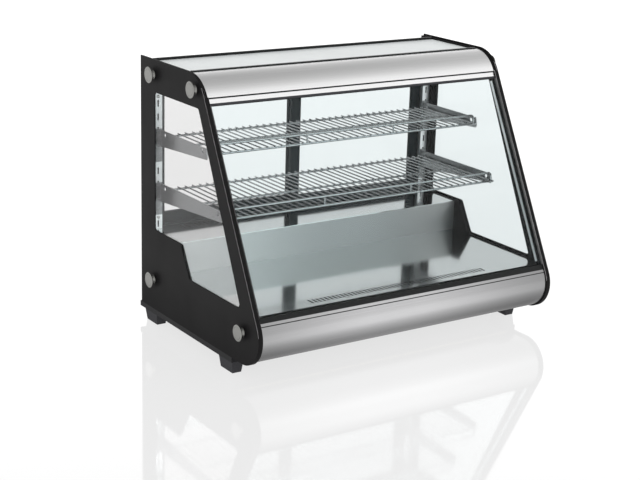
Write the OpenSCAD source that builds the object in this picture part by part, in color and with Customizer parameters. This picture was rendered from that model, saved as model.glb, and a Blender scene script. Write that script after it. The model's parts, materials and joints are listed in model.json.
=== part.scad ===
// Countertop glass display case with a leaning front, wire shelves and rear sliding doors.
// X runs across the front, +Y points to the rear, +Z points up. Millimetres.
// The origin is on the floor, midway across and midway front to back.

/* [Case] */
// Width over the outer faces of the side panels
case_w = 874; // [800:1:960]
// Height from the floor to the top edge of the side panels
case_h = 680; // [672:1:700]
// Depth of the side panels, from their foremost point to their rear edge
panel_depth = 574; // [566:1:590]
// Thickness of the side panels
panel_t = 12; // [10:0.5:14]
// Lean of the front from the vertical, in degrees
front_lean = 27.4; // [26.5:0.1:28.5]
// Radius of the top front corner of the side panels
top_r = 88; // [84:1:92]
// Radius of the bottom front corner of the side panels
bottom_r = 72; // [68:1:76]
// Height of the feet
foot_h = 30; // [26:1:34]
// Height of the base pan's rim
base_h = 13; // [11:1:16]
// How far the base pan reaches behind the side panels
base_overhang = 10; // [8:1:14]

/* [Skins] */
// How far the canopy lies inside the edge of the side panels
canopy_inset = 4.5; // [3:0.5:6]
// How far the fascia lies inside the edge of the side panels
fascia_inset = 3.5; // [2.5:0.5:5]
// Thickness of the canopy and the fascia
skin_t = 2.5; // [2:0.1:3]
// Thickness of folded sheet metal
sheet_t = 1.5; // [1.2:0.1:2]
// Thickness of the front and side glass
glass_t = 5; // [4:0.5:6]

/* [Side windows] */
// Height of the window's top edge above the floor
window_top = 600; // [590:1:606]
// Height of the window's low front edge above the floor
window_low = 175; // [172:1:182]
// Height of the window's edge above the step
window_step = 254; // [252:1:262]
// Radius of the window's corners
window_r = 9; // [4:0.5:11]
// Thickness of the lip in front of the side glass
pane_lip = 2.5; // [2:0.5:3.5]

/* [Interior] */
// Height of the deck above the floor
deck_z = 168; // [166:0.5:170]
// Height of the rear step above the floor
step_z = 248; // [246:0.5:250]
// Distance from the step's front face to the rear edge of the side panels
step_depth = 185; // [180:1:190]

/* [Shelves] */
// Height of the upper bracket arms above the floor
upper_arm_z = 500; // [496:1:504]
// Pitch of the slots in the pilasters
slot_pitch = 34; // [33:0.5:34.5]
// Distance between neighbouring shelf wires
wire_pitch = 20.3; // [19:0.1:26]
// Radius of the shelf wires
wire_r = 1.75; // [1.5:0.05:2]
// Radius of the shelf rails
rail_r = 2.75; // [2.5:0.05:3]

/* [Rear doors] */
// Width of the outer door stiles, which carry the finger pulls
jamb_w = 44; // [40:1:48]
// Width of the stiles that meet in the middle
stile_w = 28; // [26:1:34]
// Height of the bottom door rail
rail_h = 26; // [24:1:28]
// Thickness of the doors
door_t = 11; // [10:0.5:11.5]
// Clear distance between the two doors
door_gap = 5; // [4.5:0.5:5]

/* [Caps] */
// Radius of the round caps on the side panels
cap_r = 20; // [18:0.5:22]
// Height of a cap's outer face above the side panel
cap_h = 13; // [11:0.5:18]

/* [Hidden] */
$fn = 64;

// Main planes
rear_y = (panel_depth - base_overhang) / 2;
front_y = rear_y - panel_depth;
base_rear = rear_y + base_overhang;
panel_z = foot_h + base_h + 1;
half_w = case_w / 2;
in_x = half_w - panel_t;
air = 0.3;
screw_r = 2;

// Side profile: two rounded corners joined by the leaning front line
front_out = [-cos(front_lean), sin(front_lean)];
front_down = [-sin(front_lean), -cos(front_lean)];
low_c = [front_y + bottom_r, panel_z + bottom_r];
high_z = case_h - top_r;
high_y = low_c[0] + ((high_z - low_c[1]) * sin(front_lean) + top_r - bottom_r) / cos(front_lean);
high_c = [high_y, high_z];
front_top = high_c + top_r * front_out;

// Stations along the leaning front, measured down from the end of the top round
band_start = 3;
band_end = 16.5;
seal_end = 22;
sill_start = 521;
sill_end = 534.5;
groove_start = 541.2;
groove_w = 2.2;
groove_d = 1.6;

// Front glass, set back from the edge of the side panels
glass_inset = 6.5;
glass_back = glass_inset + glass_t;

// Window corners and slopes
window_rear = rear_y - 74;
window_top_y = high_y - 53;
window_low_y = front_y + 82;
window_notch_y = front_y + 323;
window_step_y = front_y + 368;
window_front_slope = (window_top_y - window_low_y) / (window_top - window_low);
window_step_slope = (window_step_y - window_notch_y) / (window_step - window_low);
pane_lap = 5;
rear_lap = 14;
top_lip = 4;
top_rebate = canopy_inset - 0.2;

// Interior planes
step_y = rear_y - step_depth;
deck_front = front_y + 34;
room_x = in_x - 1;

// Pilasters and brackets
pilaster_w = 22;
pilaster_d = 12;
pilaster_x = in_x - sheet_t - pilaster_w;
pilaster_y = rear_y - 49;
pilaster_high = case_h - 26;
slot_h = 17;
slot_w = 4;
first_slot = upper_arm_z - 248;
slot_count = 11;
shelf_pitches = 4;
between_slots = first_slot + (slot_h + slot_pitch) / 2;
lug_margin = 8;
screw_pitches = 9;
pilaster_screw_z = [between_slots, between_slots + screw_pitches * slot_pitch];
lower_arm_z = upper_arm_z - shelf_pitches * slot_pitch;
bracket_t = 2.5;
bracket_y = pilaster_y - bracket_t;
arm_x = pilaster_x + 2;
plate_h = 83;
upper_arm_front = high_y - 45;
lower_arm_front = high_y - 120;

// Shelves between the arms
shelf_x = arm_x - 4;
shelf_rear = bracket_y - 12;
upper_shelf_front = upper_arm_front - 5;
lower_shelf_front = lower_arm_front - 14;
shelf_drop = 11;
guard_rise = 23;
ledge_drop = shelf_drop + wire_r + 2 * rail_r - 0.6 + air;

// Top sheet
sheet_z = case_h - 8;
sheet_rear = rear_y - 45;
joint_w = 3.5;

// Doors
outer_door_y = rear_y - 4.5 - door_t;
inner_door_y = outer_door_y - door_gap - door_t;
door_reach = in_x - 4;
door_w = door_reach + stile_w / 2;
door_pane_w = door_w - jamb_w - stile_w;
sill_z = step_z + 2;
rib_h = 5;
door_low = sill_z + 2;
header_z = case_h - 46;
header_h = 28;
door_high = header_z + 14;
top_rail_h = 30;
header_front = inner_door_y - 3.5;
rib_w = 3;
guide_w = 7;
guide_top = sill_z + rib_h + 13;

// Machine space
rear_panel_y = rear_y - 10;
duct_wall = step_y + 21;
duct_floor = step_z - 24;
foam = 16;
floor_foam = 38;
floor_z = foot_h + sheet_t;
fan_x = 260;
fan_z = floor_z + 90;
coil_tube_r = 4;
fin_t = 1.2;
pipe_r = 3;
cool_fan_x = -60;
cool_fan_z = 118;
compressor_x = -40;
compressor_r = 62;
compressor_y = (duct_wall + foam + rear_panel_y) / 2;
condenser_y = rear_panel_y - sheet_t - 32;
condenser_size = [200, 28, 136];
condenser_low = floor_z + 22;
evaporator_y = step_y - 150;
evaporator_size = [460, 90, 62];
evaporator_low = floor_z + floor_foam + 4;
stub_x = compressor_x + compressor_r + 18;
stub_y = compressor_y + 54;
gas_z = floor_z + 130;
suction_p = [200, evaporator_low + 46];
liquid_p = [222, evaporator_low + 16];

// Rear service panel and controls
rear_low = foot_h + base_h + 2;
rear_high = step_z - 5;
rear_screw_x = [in_x - 12, in_x - 300];
rear_screw_z = [rear_low + 12, rear_high - 12];
control_x = 125 - in_x;
control_z = 140;
plate_t = 2;
knob_p = [control_x - 32, control_z];
switch_p = [control_x + 32, control_z];
switch_open = [20, 29];
gland_x = 45 - in_x;
gland_z = 98;

// Lamp under the canopy
lamp_half = in_x - sheet_t;
lamp_c = [high_y - 50, case_h - 62];

// Places of the caps on a side panel, as depth and height
cap_places = [
    [rear_y - 64, case_h - 38], [high_y - 34, case_h - 38],
    [rear_y - 63, panel_z + 77], [front_y + 74, panel_z + 77]
];
bolt_r = 5;
bolt_hole_r = 5.2;
bolt_reach = 6;

// Feet
foot_front_y = front_y + 154;
foot_rear_y = rear_y - 43;
foot_x = half_w - 20;

// Front of the base pan, and the rear end of the fascia's flat underside
pan_front = foot_front_y - 33;
apron_end = pan_front + 3;

// A flat outline in the side view, drawn out along X
module along_x(x0, len) {
    translate([x0, 0, 0]) rotate([90, 0, 90]) linear_extrude(len) children();
}

// The same thing on the right (side = 1) or mirrored to the left (side = -1)
module on_side(side) {
    if (side > 0) children();
    else mirror([1, 0, 0]) children();
}

// A round bar along Y
module along_y(p, r, len) {
    translate(p) rotate([-90, 0, 0]) cylinder(r = r, h = len);
}

// A round bar along X
module bar_x(p, r, len) {
    translate(p) rotate([0, 90, 0]) cylinder(r = r, h = len);
}

// A point on the leaning front, at a station and an inset
function on_front(s, inset) = front_top + s * front_down - inset * front_out;

// A strip along the leaning front between two stations and two insets
module front_strip(s0, s1, d0, d1) {
    polygon([on_front(s0, d0), on_front(s1, d0), on_front(s1, d1), on_front(s0, d1)]);
}

// Outline of the side panels, drawn inwards by an inset
module case_outline(inset = 0) {
    polygon([
        [rear_y - inset, panel_z + inset], [rear_y - inset, case_h - inset], [high_y, case_h - inset],
        high_c + (top_r - inset) * front_out, low_c + (bottom_r - inset) * front_out,
        [low_c[0], panel_z + inset]
    ]);
    translate(high_c) circle(top_r - inset);
    translate(low_c) circle(bottom_r - inset);
}

// Points of a corner rounded with radius r, between the neighbours a and b of corner p
function unit(v) = v / norm(v);
function corner_arc(a, p, b, r, n = 5) =
    let (u = unit(a - p), v = unit(b - p), half = acos(u * v) / 2,
         c = p + unit(u + v) * r / sin(half),
         from = p + u * r / tan(half) - c, turn = 180 - 2 * half,
         way = (u[0] * v[1] - u[1] * v[0]) > 0 ? -1 : 1)
    [for (i = [0:n]) let (t = way * turn * i / n)
        c + [from[0] * cos(t) - from[1] * sin(t), from[0] * sin(t) + from[1] * cos(t)]];
function rounded(pts, r) = let (m = len(pts))
    [for (i = [0:m - 1]) each corner_arc(pts[(i + m - 1) % m], pts[i], pts[(i + 1) % m], r)];

// Corners of the side window, grown outwards by a margin
function window_corners(grow = 0, rear_grow = 0) =
    let (f = grow * norm([1, window_front_slope]), k = grow * norm([1, window_step_slope]))
    [
        [window_rear + rear_grow, window_top + grow],
        [window_top_y + grow * window_front_slope - f, window_top + grow],
        [window_low_y - grow * window_front_slope - f, window_low - grow],
        [window_notch_y - grow * window_step_slope + k, window_low - grow],
        [window_step_y - grow * window_step_slope + k, window_step - grow],
        [window_rear + rear_grow, window_step - grow]
    ];

// Base and feet

module base_pan() {
    flange_z = panel_z + 100;
    flange_front = low_c[0] - 12;
    flange_rear = rear_panel_y - 2 * sheet_t;
    pan_x = half_w - 1.5;
    upstand_z = rear_low + 25;
    color("dimgray") {
        difference() {
            translate([-pan_x, pan_front, foot_h]) cube([2 * pan_x, base_rear - pan_front, base_h]);
            translate([-pan_x + sheet_t, pan_front + sheet_t, floor_z])
                cube([2 * (pan_x - sheet_t), base_rear - pan_front - 2 * sheet_t, base_h]);
            for (x = [-foot_x, foot_x], y = [foot_front_y, foot_rear_y])
                translate([x, y, foot_h - 1]) cylinder(r = 3.2, h = sheet_t + 2);
        }
        for (side = [-1, 1]) on_side(side) along_x(in_x - sheet_t, sheet_t) difference() {
            polygon([[flange_front, panel_z + 12], [apron_end + 4, panel_z + 12], [apron_end + 4, foot_h],
                     [flange_rear, foot_h], [flange_rear, flange_z], [flange_front, flange_z]]);
            for (i = [2, 3]) translate(cap_places[i]) circle(bolt_hole_r);
        }
        translate([0, flange_rear + sheet_t, 0]) rotate([90, 0, 0]) linear_extrude(sheet_t) difference() {
            translate([-in_x, foot_h]) square([2 * in_x, upstand_z - foot_h]);
            for (side = [-1, 1], x = rear_screw_x) translate([side * x, rear_screw_z[0]]) circle(screw_r);
        }
    }
}

module foot(x, y) {
    taper = 4;
    half = [16, 31];
    color([0.16, 0.16, 0.17]) difference() {
        intersection() {
            translate([x, y + half[1], 0]) rotate([90, 0, 0]) linear_extrude(2 * half[1])
                polygon([[taper - half[0], 0], [half[0] - taper, 0], [half[0], foot_h], [-half[0], foot_h]]);
            along_x(x - half[0], 2 * half[0])
                polygon([[y - half[1] + taper, 0], [y + half[1] - taper, 0],
                         [y + half[1], foot_h], [y - half[1], foot_h]]);
        }
        translate([x, y, -1]) cylinder(r = 3.2, h = foot_h + 2);
        translate([x, y, -1]) cylinder(r = 7, h = 11);
    }
}

module foot_front_left() { foot(-foot_x, foot_front_y); }
module foot_front_right() { foot(foot_x, foot_front_y); }
module foot_rear_left() { foot(-foot_x, foot_rear_y); }
module foot_rear_right() { foot(foot_x, foot_rear_y); }

module foot_screws() {
    color("silver") for (x = [-foot_x, foot_x], y = [foot_front_y, foot_rear_y]) {
        translate([x, y, 6]) cylinder(r = 5.5, h = 4);
        translate([x, y, 9]) cylinder(r = 3, h = floor_z - 9);
    }
}

// Side panels, their glass and their caps

module side_panel() {
    color([0.19, 0.18, 0.185]) difference() {
        along_x(in_x, panel_t) difference() {
            case_outline();
            polygon(rounded(window_corners(), window_r));
            for (p = cap_places) translate(p) circle(bolt_hole_r);
        }
        along_x(in_x - 1, panel_t - top_lip + 1) intersection() {
            difference() {
                case_outline(-2);
                case_outline(top_rebate);
                translate([high_y, panel_z]) square([rear_y + 5 - high_y, case_h - top_rebate - panel_z]);
            }
            polygon([[rear_y + 5, case_h + 5], [high_y - 160, case_h + 5], on_front(2, -40),
                     on_front(2, 30), [high_y, high_z], [rear_y + 5, high_z]]);
        }
        along_x(in_x - 1, panel_t - pane_lip + 1)
            polygon(rounded(window_corners(pane_lap, rear_lap), window_r));
    }
}

module side_glass() {
    color([0.9, 0.95, 0.95, 0.35]) along_x(half_w - pane_lip - glass_t, glass_t)
        polygon(rounded(window_corners(pane_lap - 0.5, rear_lap - 0.5), window_r));
}

module panel_caps() {
    disc_t = 3;
    neck_foot_r = 12.5;
    neck_r = 9.5;
    color("silver") for (p = cap_places) {
        translate([half_w, p[0], p[1]]) rotate([0, 90, 0])
            cylinder(r1 = neck_foot_r, r2 = neck_r, h = cap_h - disc_t);
        bar_x([half_w + cap_h - disc_t, p[0], p[1]], cap_r - 1, disc_t);
        bar_x([half_w + cap_h - disc_t + 1, p[0], p[1]], cap_r, disc_t - 2);
        bar_x([in_x - bolt_reach, p[0], p[1]], bolt_r, panel_t + bolt_reach + 1);
    }
}

module left_side_panel() { on_side(-1) side_panel(); }
module right_side_panel() { on_side(1) side_panel(); }
module left_side_glass() { on_side(-1) side_glass(); }
module right_side_glass() { on_side(1) side_glass(); }
module left_panel_caps() { on_side(-1) panel_caps(); }
module right_panel_caps() { on_side(1) panel_caps(); }

// Leaning front glass and its strips

module front_glass() {
    color([0.92, 0.96, 0.96, 0.35]) along_x(-in_x + air, 2 * (in_x - air))
        front_strip(band_end - 8, sill_end + 2, glass_inset, glass_back);
}

module front_glass_upper_seal() {
    color([0.06, 0.07, 0.07]) along_x(-in_x, 2 * in_x)
        front_strip(band_end, seal_end, canopy_inset, glass_inset);
}

module front_glass_sill() {
    color([0.06, 0.06, 0.06]) along_x(-in_x, 2 * in_x) {
        front_strip(sill_start, sill_end, fascia_inset + 0.5, glass_inset);
        front_strip(sill_end - 6, sill_end + 8, glass_back, glass_back + 8);
    }
}

module front_glass_side_strips() {
    color("gainsboro") for (side = [-1, 1]) on_side(side)
        along_x(in_x - 8, 4) front_strip(seal_end + 4, sill_start - 12, glass_back, glass_back + 8.5);
}

// Skins of the top and the front

module canopy() {
    color("silver") along_x(-in_x, 2 * in_x) difference() {
        intersection() {
            case_outline(canopy_inset);
            polygon([[high_y, case_h + 1], [high_y - 160, case_h + 1], on_front(band_end, -40),
                     on_front(band_end, 30), [high_y, high_z]]);
        }
        case_outline(canopy_inset + skin_t);
        front_strip(band_end - 8.5, band_end + 9, glass_inset, glass_back);
        front_strip(band_start, band_start + groove_w, canopy_inset - 1, canopy_inset + groove_d);
    }
}

module fascia() {
    color("silver") along_x(-in_x, 2 * in_x) difference() {
        intersection() {
            case_outline(fascia_inset);
            polygon([on_front(sill_end, -40), on_front(sill_end, 20), low_c, [apron_end, low_c[1]],
                     [apron_end, panel_z - 10], [front_y - 60, panel_z - 10]]);
        }
        case_outline(fascia_inset + skin_t);
        front_strip(groove_start, groove_start + groove_w, fascia_inset - 1, fascia_inset + groove_d);
    }
}

module top_sheet() {
    sheet_front = high_y + joint_w;
    flange_low = case_h - 56;
    flange_front = high_y - 52;
    ledge_z = header_z + header_h;
    color([0.93, 0.94, 0.95]) {
        along_x(-in_x, 2 * in_x) {
            translate([sheet_front, sheet_z - sheet_t]) square([sheet_rear - sheet_front, sheet_t]);
            translate([sheet_rear - sheet_t, ledge_z]) square([sheet_t, sheet_z - ledge_z]);
            translate([sheet_rear - sheet_t, ledge_z]) square([rear_y - 1 - sheet_rear + sheet_t, sheet_t]);
        }
        for (side = [-1, 1]) on_side(side) along_x(in_x - sheet_t, sheet_t) difference() {
            polygon([[flange_front, flange_low], [sheet_rear, flange_low], [sheet_rear, sheet_z],
                     [sheet_front, sheet_z], [sheet_front, sheet_z - 5], [flange_front, case_h - 34]]);
            for (i = [0, 1]) translate(cap_places[i]) circle(bolt_hole_r);
        }
    }
}

module top_trim() {
    ledge_z = header_z + header_h + sheet_t;
    rise = 6;
    lap = 4.5;
    color([0.05, 0.05, 0.06]) along_x(-in_x, 2 * in_x) {
        translate([high_y, sheet_z - 4]) square([joint_w, rise + 4]);
        translate([high_y + joint_w - 1, sheet_z]) square([lap + 1, rise]);
        translate([sheet_rear, ledge_z]) square([3, sheet_z + rise - ledge_z]);
        translate([sheet_rear - lap, sheet_z]) square([lap + 1, rise]);
    }
}

// Floor of the showroom

module deck() {
    vent_len = 24;
    vent_w = 5;
    vent_pitch = 11.2;
    vent_y = front_y + 52;
    vents = floor(in_x * 0.61 / vent_pitch);
    color([0.8, 0.82, 0.83]) {
        translate([0, 0, deck_z - sheet_t]) linear_extrude(sheet_t) difference() {
            translate([-room_x, deck_front]) square([2 * room_x, step_y + sheet_t - deck_front]);
            for (i = [-vents:vents])
                translate([i * vent_pitch - vent_w / 2, vent_y]) square([vent_w, vent_len]);
        }
        translate([-room_x, deck_front, deck_z - 12]) cube([2 * room_x, sheet_t, 12]);
    }
}

module step_front() {
    color([0.55, 0.57, 0.58]) translate([-room_x, step_y, deck_z])
        cube([2 * room_x, sheet_t, step_z - sheet_t - deck_z]);
}

module step_top() {
    vent_len = 30;
    vent_w = 6;
    vent_pitch = 13.5;
    vent_y = rear_y - 77;
    vents = floor(in_x * 0.83 / vent_pitch);
    color([0.85, 0.86, 0.87]) {
        translate([0, 0, step_z - sheet_t]) linear_extrude(sheet_t) difference() {
            translate([-room_x, step_y]) square([2 * room_x, header_front - step_y]);
            for (i = [-vents:vents])
                translate([i * vent_pitch - vent_w / 2, vent_y]) square([vent_w, vent_len]);
        }
        translate([-room_x, header_front - sheet_t, duct_floor])
            cube([2 * room_x, sheet_t, step_z - duct_floor]);
    }
}

module insulation() {
    low = floor_z + floor_foam;
    tray_front = deck_front + sheet_t;
    outer = in_x - bolt_reach - 1;
    color([0.93, 0.9, 0.78]) difference() {
        union() {
            along_x(-outer, 2 * outer) polygon([
                [tray_front, deck_z - sheet_t], [tray_front, low + 4], [tray_front + 20, panel_z + 12],
                [apron_end + 4, panel_z + 12], [apron_end + 4, floor_z],
                [duct_wall + foam, floor_z], [duct_wall + foam, duct_floor - foam],
                [header_front, duct_floor - foam], [header_front, duct_floor],
                [duct_wall, duct_floor], [duct_wall, low], [tray_front + foam, low],
                [tray_front + foam, deck_z - sheet_t]
            ]);
            for (side = [-1, 1]) on_side(side) along_x(outer - foam, foam)
                polygon([[tray_front + foam, low], [duct_wall, low],
                         [duct_wall, deck_z - sheet_t], [tray_front + foam, deck_z - sheet_t]]);
        }
        for (p = [suction_p, liquid_p]) along_y([p[0], duct_wall - 5, p[1]], pipe_r + 2, foam + 10);
    }
}

// Pilasters, brackets and screws

module pilaster() {
    color("silver") difference() {
        translate([pilaster_x, pilaster_y, step_z])
            cube([pilaster_w, pilaster_d, pilaster_high - step_z]);
        translate([pilaster_x + sheet_t, pilaster_y + sheet_t, step_z - 1])
            cube([pilaster_w - 2 * sheet_t, pilaster_d, pilaster_high - step_z + 2]);
        for (i = [0:slot_count - 1])
            translate([pilaster_x + (pilaster_w - slot_w) / 2, pilaster_y - 1, first_slot + i * slot_pitch])
                cube([slot_w, sheet_t + 2, slot_h]);
        for (z = pilaster_screw_z)
            along_y([pilaster_x + pilaster_w / 2, pilaster_y - 1, z], screw_r + 0.2, sheet_t + 2);
    }
}

module bracket(arm_z, arm_front, rear_h, tip_h) {
    mid_x = pilaster_x + pilaster_w / 2;
    hook_low = arm_z - 78;
    ledge = 9;
    color([0.58, 0.59, 0.6]) {
        difference() {
            translate([pilaster_x + 1, bracket_y, arm_z + 3 - plate_h])
                cube([pilaster_w - 2, bracket_t, plate_h]);
            along_y([mid_x, bracket_y - 1, arm_z - 40], 3, bracket_t + 2);
        }
        along_x(arm_x, bracket_t) difference() {
            polygon([[bracket_y + 1, arm_z], [bracket_y + 1, arm_z - rear_h],
                     [arm_front + 4, arm_z - tip_h], [arm_front, arm_z - tip_h + 5], [arm_front + 5, arm_z]]);
            translate([bracket_y - 20, arm_z - 10]) circle(5);
            translate([arm_front + 24, arm_z - 9.5]) circle(5);
        }
        for (y = [bracket_y - 40, arm_front + 40])
            translate([arm_x - ledge, y - 7, arm_z - ledge_drop - bracket_t])
                cube([ledge + 1, 14, bracket_t]);
        for (z = [hook_low, hook_low + slot_pitch])
            translate([mid_x - bracket_t / 2, bracket_y + 1, z]) cube([bracket_t, 7, slot_h - 6]);
    }
}

module upper_bracket() { bracket(upper_arm_z, upper_arm_front, 42, 27); }
module lower_bracket() { bracket(lower_arm_z, lower_arm_front, 47, 25); }
module upper_left_bracket() { on_side(-1) upper_bracket(); }
module upper_right_bracket() { on_side(1) upper_bracket(); }
module lower_left_bracket() { on_side(-1) lower_bracket(); }
module lower_right_bracket() { on_side(1) lower_bracket(); }
module left_pilaster() { on_side(-1) pilaster(); }
module right_pilaster() { on_side(1) pilaster(); }

module panel_screws() {
    head_r = 4;
    head_h = 2;
    color("silver") for (side = [-1, 1]) on_side(side) {
        for (z = pilaster_screw_z) {
            along_y([pilaster_x + pilaster_w / 2, pilaster_y - head_h, z], head_r, head_h);
            along_y([pilaster_x + pilaster_w / 2, pilaster_y - 1, z], screw_r, pilaster_d + 2.5);
        }
        for (x = rear_screw_x, z = rear_screw_z) {
            along_y([x, rear_panel_y, z], head_r, head_h);
            along_y([x, rear_panel_y - 8, z], screw_r, 9);
        }
    }
}

// Wire shelves

module shelf_grid(arm_z, shelf_front) {
    z = arm_z - shelf_drop;
    low_z = z - wire_r - rail_r + 0.6;
    wires = floor((shelf_x - 8) / wire_pitch);
    depth = shelf_rear - shelf_front;
    color([0.72, 0.73, 0.74]) union() {
        for (i = [-wires:wires]) along_y([i * wire_pitch, shelf_front, z], wire_r, depth);
        for (y = [shelf_front + 4, (shelf_front + shelf_rear) / 2, shelf_rear - 6])
            bar_x([-shelf_x, y, low_z], rail_r, 2 * shelf_x);
        for (x = [-shelf_x + rail_r, shelf_x - rail_r])
            along_y([x, shelf_front + 1, low_z], rail_r, depth - 3);
    }
}

module shelf_rail(arm_z, shelf_front) {
    low_z = arm_z - shelf_drop - wire_r - rail_r + 0.6;
    high_z = low_z + guard_rise;
    end_x = shelf_x - 9;
    bend = 9;
    post_r = 2.2;
    color([0.72, 0.73, 0.74]) translate([0, shelf_front + 4, 0]) union() {
        bar_x([-end_x + bend, 0, high_z], rail_r, 2 * (end_x - bend));
        for (side = [-1, 1]) on_side(side) {
            translate([end_x - bend, 0, high_z - bend]) rotate([90, 0, 0])
                rotate_extrude(angle = 90) translate([bend, 0]) circle(rail_r);
            translate([end_x, 0, low_z + rail_r - 1])
                cylinder(r = rail_r, h = guard_rise - bend - rail_r + 1);
            translate([end_x / 3, 0, low_z + rail_r - 1]) cylinder(r = post_r, h = guard_rise - rail_r);
        }
    }
}

module upper_shelf() { shelf_grid(upper_arm_z, upper_shelf_front); }
module upper_shelf_rail() { shelf_rail(upper_arm_z, upper_shelf_front); }
module lower_shelf() { shelf_grid(lower_arm_z, lower_shelf_front); }
module lower_shelf_rail() { shelf_rail(lower_arm_z, lower_shelf_front); }

// Rear doors and their tracks

module door_header() {
    slot = door_t + 3;
    color([0.14, 0.18, 0.2]) {
        along_x(-in_x, 2 * in_x) difference() {
            translate([header_front, header_z]) square([rear_y - 1 - header_front, header_h]);
            for (y = [inner_door_y, outer_door_y])
                translate([y - 1.5, header_z - 1]) square([slot, 19]);
        }
        for (side = [-1, 1]) on_side(side) pilaster_lug(pilaster_screw_z[1] - lug_margin, pilaster_high + 4);
    }
}

module door_sill() {
    color([0.14, 0.18, 0.2]) {
        along_x(-in_x, 2 * in_x) {
            translate([header_front, step_z - 4]) square([rear_y - 1 - header_front, sill_z - step_z + 4]);
            for (y = [inner_door_y, outer_door_y])
                translate([y + (door_t - rib_w) / 2, sill_z - 1]) square([rib_w, rib_h + 1]);
        }
        translate([0, rear_panel_y - sheet_t, 0]) rotate([90, 0, 0]) linear_extrude(sheet_t) difference() {
            translate([-in_x, rear_high - 20]) square([2 * in_x, 22]);
            for (side = [-1, 1], x = rear_screw_x) translate([side * x, rear_screw_z[1]]) circle(screw_r);
        }
        for (side = [-1, 1]) on_side(side) pilaster_lug(step_z, pilaster_screw_z[0] + lug_margin);
    }
}

// Block on a door track that a pilaster is screwed to
module pilaster_lug(low, high) {
    lug_y = pilaster_y + pilaster_d;
    difference() {
        translate([pilaster_x, lug_y, low]) cube([pilaster_w, header_front + 1 - lug_y, high - low]);
        for (z = pilaster_screw_z) along_y([pilaster_x + pilaster_w / 2, lug_y - 1, z], screw_r, 5);
    }
}

module door_frame(x0, y0, pane_x, grip_x) {
    grip = [jamb_w - 22, 110, 6];
    grip_z = (door_low + door_high - grip[1]) / 2;
    color([0.17, 0.22, 0.24]) difference() {
        translate([x0, y0, door_low]) cube([door_w, door_t, door_high - door_low]);
        translate([pane_x, y0 - 1, door_low + rail_h])
            cube([door_pane_w, door_t + 2, door_high - door_low - rail_h - top_rail_h]);
        translate([x0 - 1, y0 + (door_t - guide_w) / 2, door_low - 1])
            cube([door_w + 2, guide_w, guide_top + 1 - door_low]);
        translate([grip_x - grip[0] / 2, y0 + door_t - grip[2], grip_z])
            cube([grip[0], grip[2] + 1, grip[1]]);
    }
}

module door_glass(pane_x, y0) {
    pane = 4;
    color([0.9, 0.95, 0.95, 0.35]) translate([pane_x, y0 + (door_t - pane) / 2, door_low + rail_h])
        cube([door_pane_w, pane, door_high - door_low - rail_h - top_rail_h]);
}

module door_glides(x0, y0) {
    shoe = 44;
    cheek_low = door_low + 0.5;
    slot_w = rib_w + 1;
    color("white") for (x = [x0 + 20, x0 + door_w - 20 - shoe]) along_x(x, shoe) difference() {
        translate([y0 + (door_t - guide_w) / 2, cheek_low]) square([guide_w, guide_top - cheek_low]);
        translate([y0 + (door_t - slot_w) / 2, cheek_low - 1])
            square([slot_w, sill_z + rib_h + air + 1 - cheek_low]);
    }
}

module left_door_frame() {
    door_frame(-door_reach, outer_door_y, jamb_w - door_reach, jamb_w / 2 - door_reach);
}
module left_door_glass() { door_glass(jamb_w - door_reach, outer_door_y); }
module left_door_glides() { door_glides(-door_reach, outer_door_y); }
module right_door_frame() {
    door_frame(door_reach - door_w, inner_door_y, stile_w + door_reach - door_w, door_reach - jamb_w / 2);
}
module right_door_glass() { door_glass(stile_w + door_reach - door_w, inner_door_y); }
module right_door_glides() { door_glides(door_reach - door_w, inner_door_y); }

// Rear service panel and controls

module rear_panel() {
    louvre = [96, 6];
    louvre_pitch = 14;
    louvre_x = [fan_x - 102, fan_x + 6, compressor_x - 80, compressor_x + 28];
    color("gainsboro") translate([0, rear_panel_y, 0]) rotate([90, 0, 0])
        linear_extrude(sheet_t) difference() {
            translate([-in_x + 3, rear_low]) square([2 * in_x - 6, rear_high - rear_low]);
            for (x = louvre_x, i = [0:9])
                translate([x, rear_low + 32 + i * louvre_pitch]) square(louvre);
            for (side = [-1, 1], x = rear_screw_x, z = rear_screw_z)
                translate([side * x, z]) circle(screw_r + 0.2);
            translate(knob_p) circle(8);
            translate(switch_p - switch_open / 2 - [1, 1]) square(switch_open + [2, 2]);
            translate([gland_x, gland_z]) circle(8.2);
        }
}

module control_plate() {
    plate = [130, 80];
    pin_y = rear_panel_y + plate_t + 1;
    switch_x = switch_p[0] - switch_open[0] / 2;
    switch_z = switch_p[1] - switch_open[1] / 2;
    color([0.12, 0.12, 0.13]) difference() {
        union() {
            translate([control_x - plate[0] / 2, rear_panel_y, control_z - plate[1] / 2])
                cube([plate[0], plate_t, plate[1]]);
            along_y([knob_p[0], rear_panel_y - 12, knob_p[1]], 7, 13);
            translate([switch_x - 2, rear_panel_y, switch_z - 2])
                cube([switch_open[0] + 4, plate_t + 2, switch_open[1] + 4]);
        }
        along_y([knob_p[0], rear_panel_y - 11, knob_p[1]], 3.05, 20);
        translate([switch_x, rear_panel_y - 1, switch_z]) cube([switch_open[0], plate_t + 5, switch_open[1]]);
        bar_x([switch_x - 1.5, pin_y, switch_p[1]], 1.05, switch_open[0] + 3);
    }
}

module thermostat_knob() {
    knob_y = rear_panel_y + plate_t + 0.5;
    color([0.1, 0.1, 0.1]) union() {
        along_y([knob_p[0], knob_y, knob_p[1]], 18, 4);
        along_y([knob_p[0], knob_y + 4, knob_p[1]], 14.5, 10);
        translate([knob_p[0] - 2, knob_y + 3, knob_p[1]]) cube([4, 12, 15]);
        along_y([knob_p[0], knob_y - 11, knob_p[1]], 3, 12);
    }
}

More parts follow.
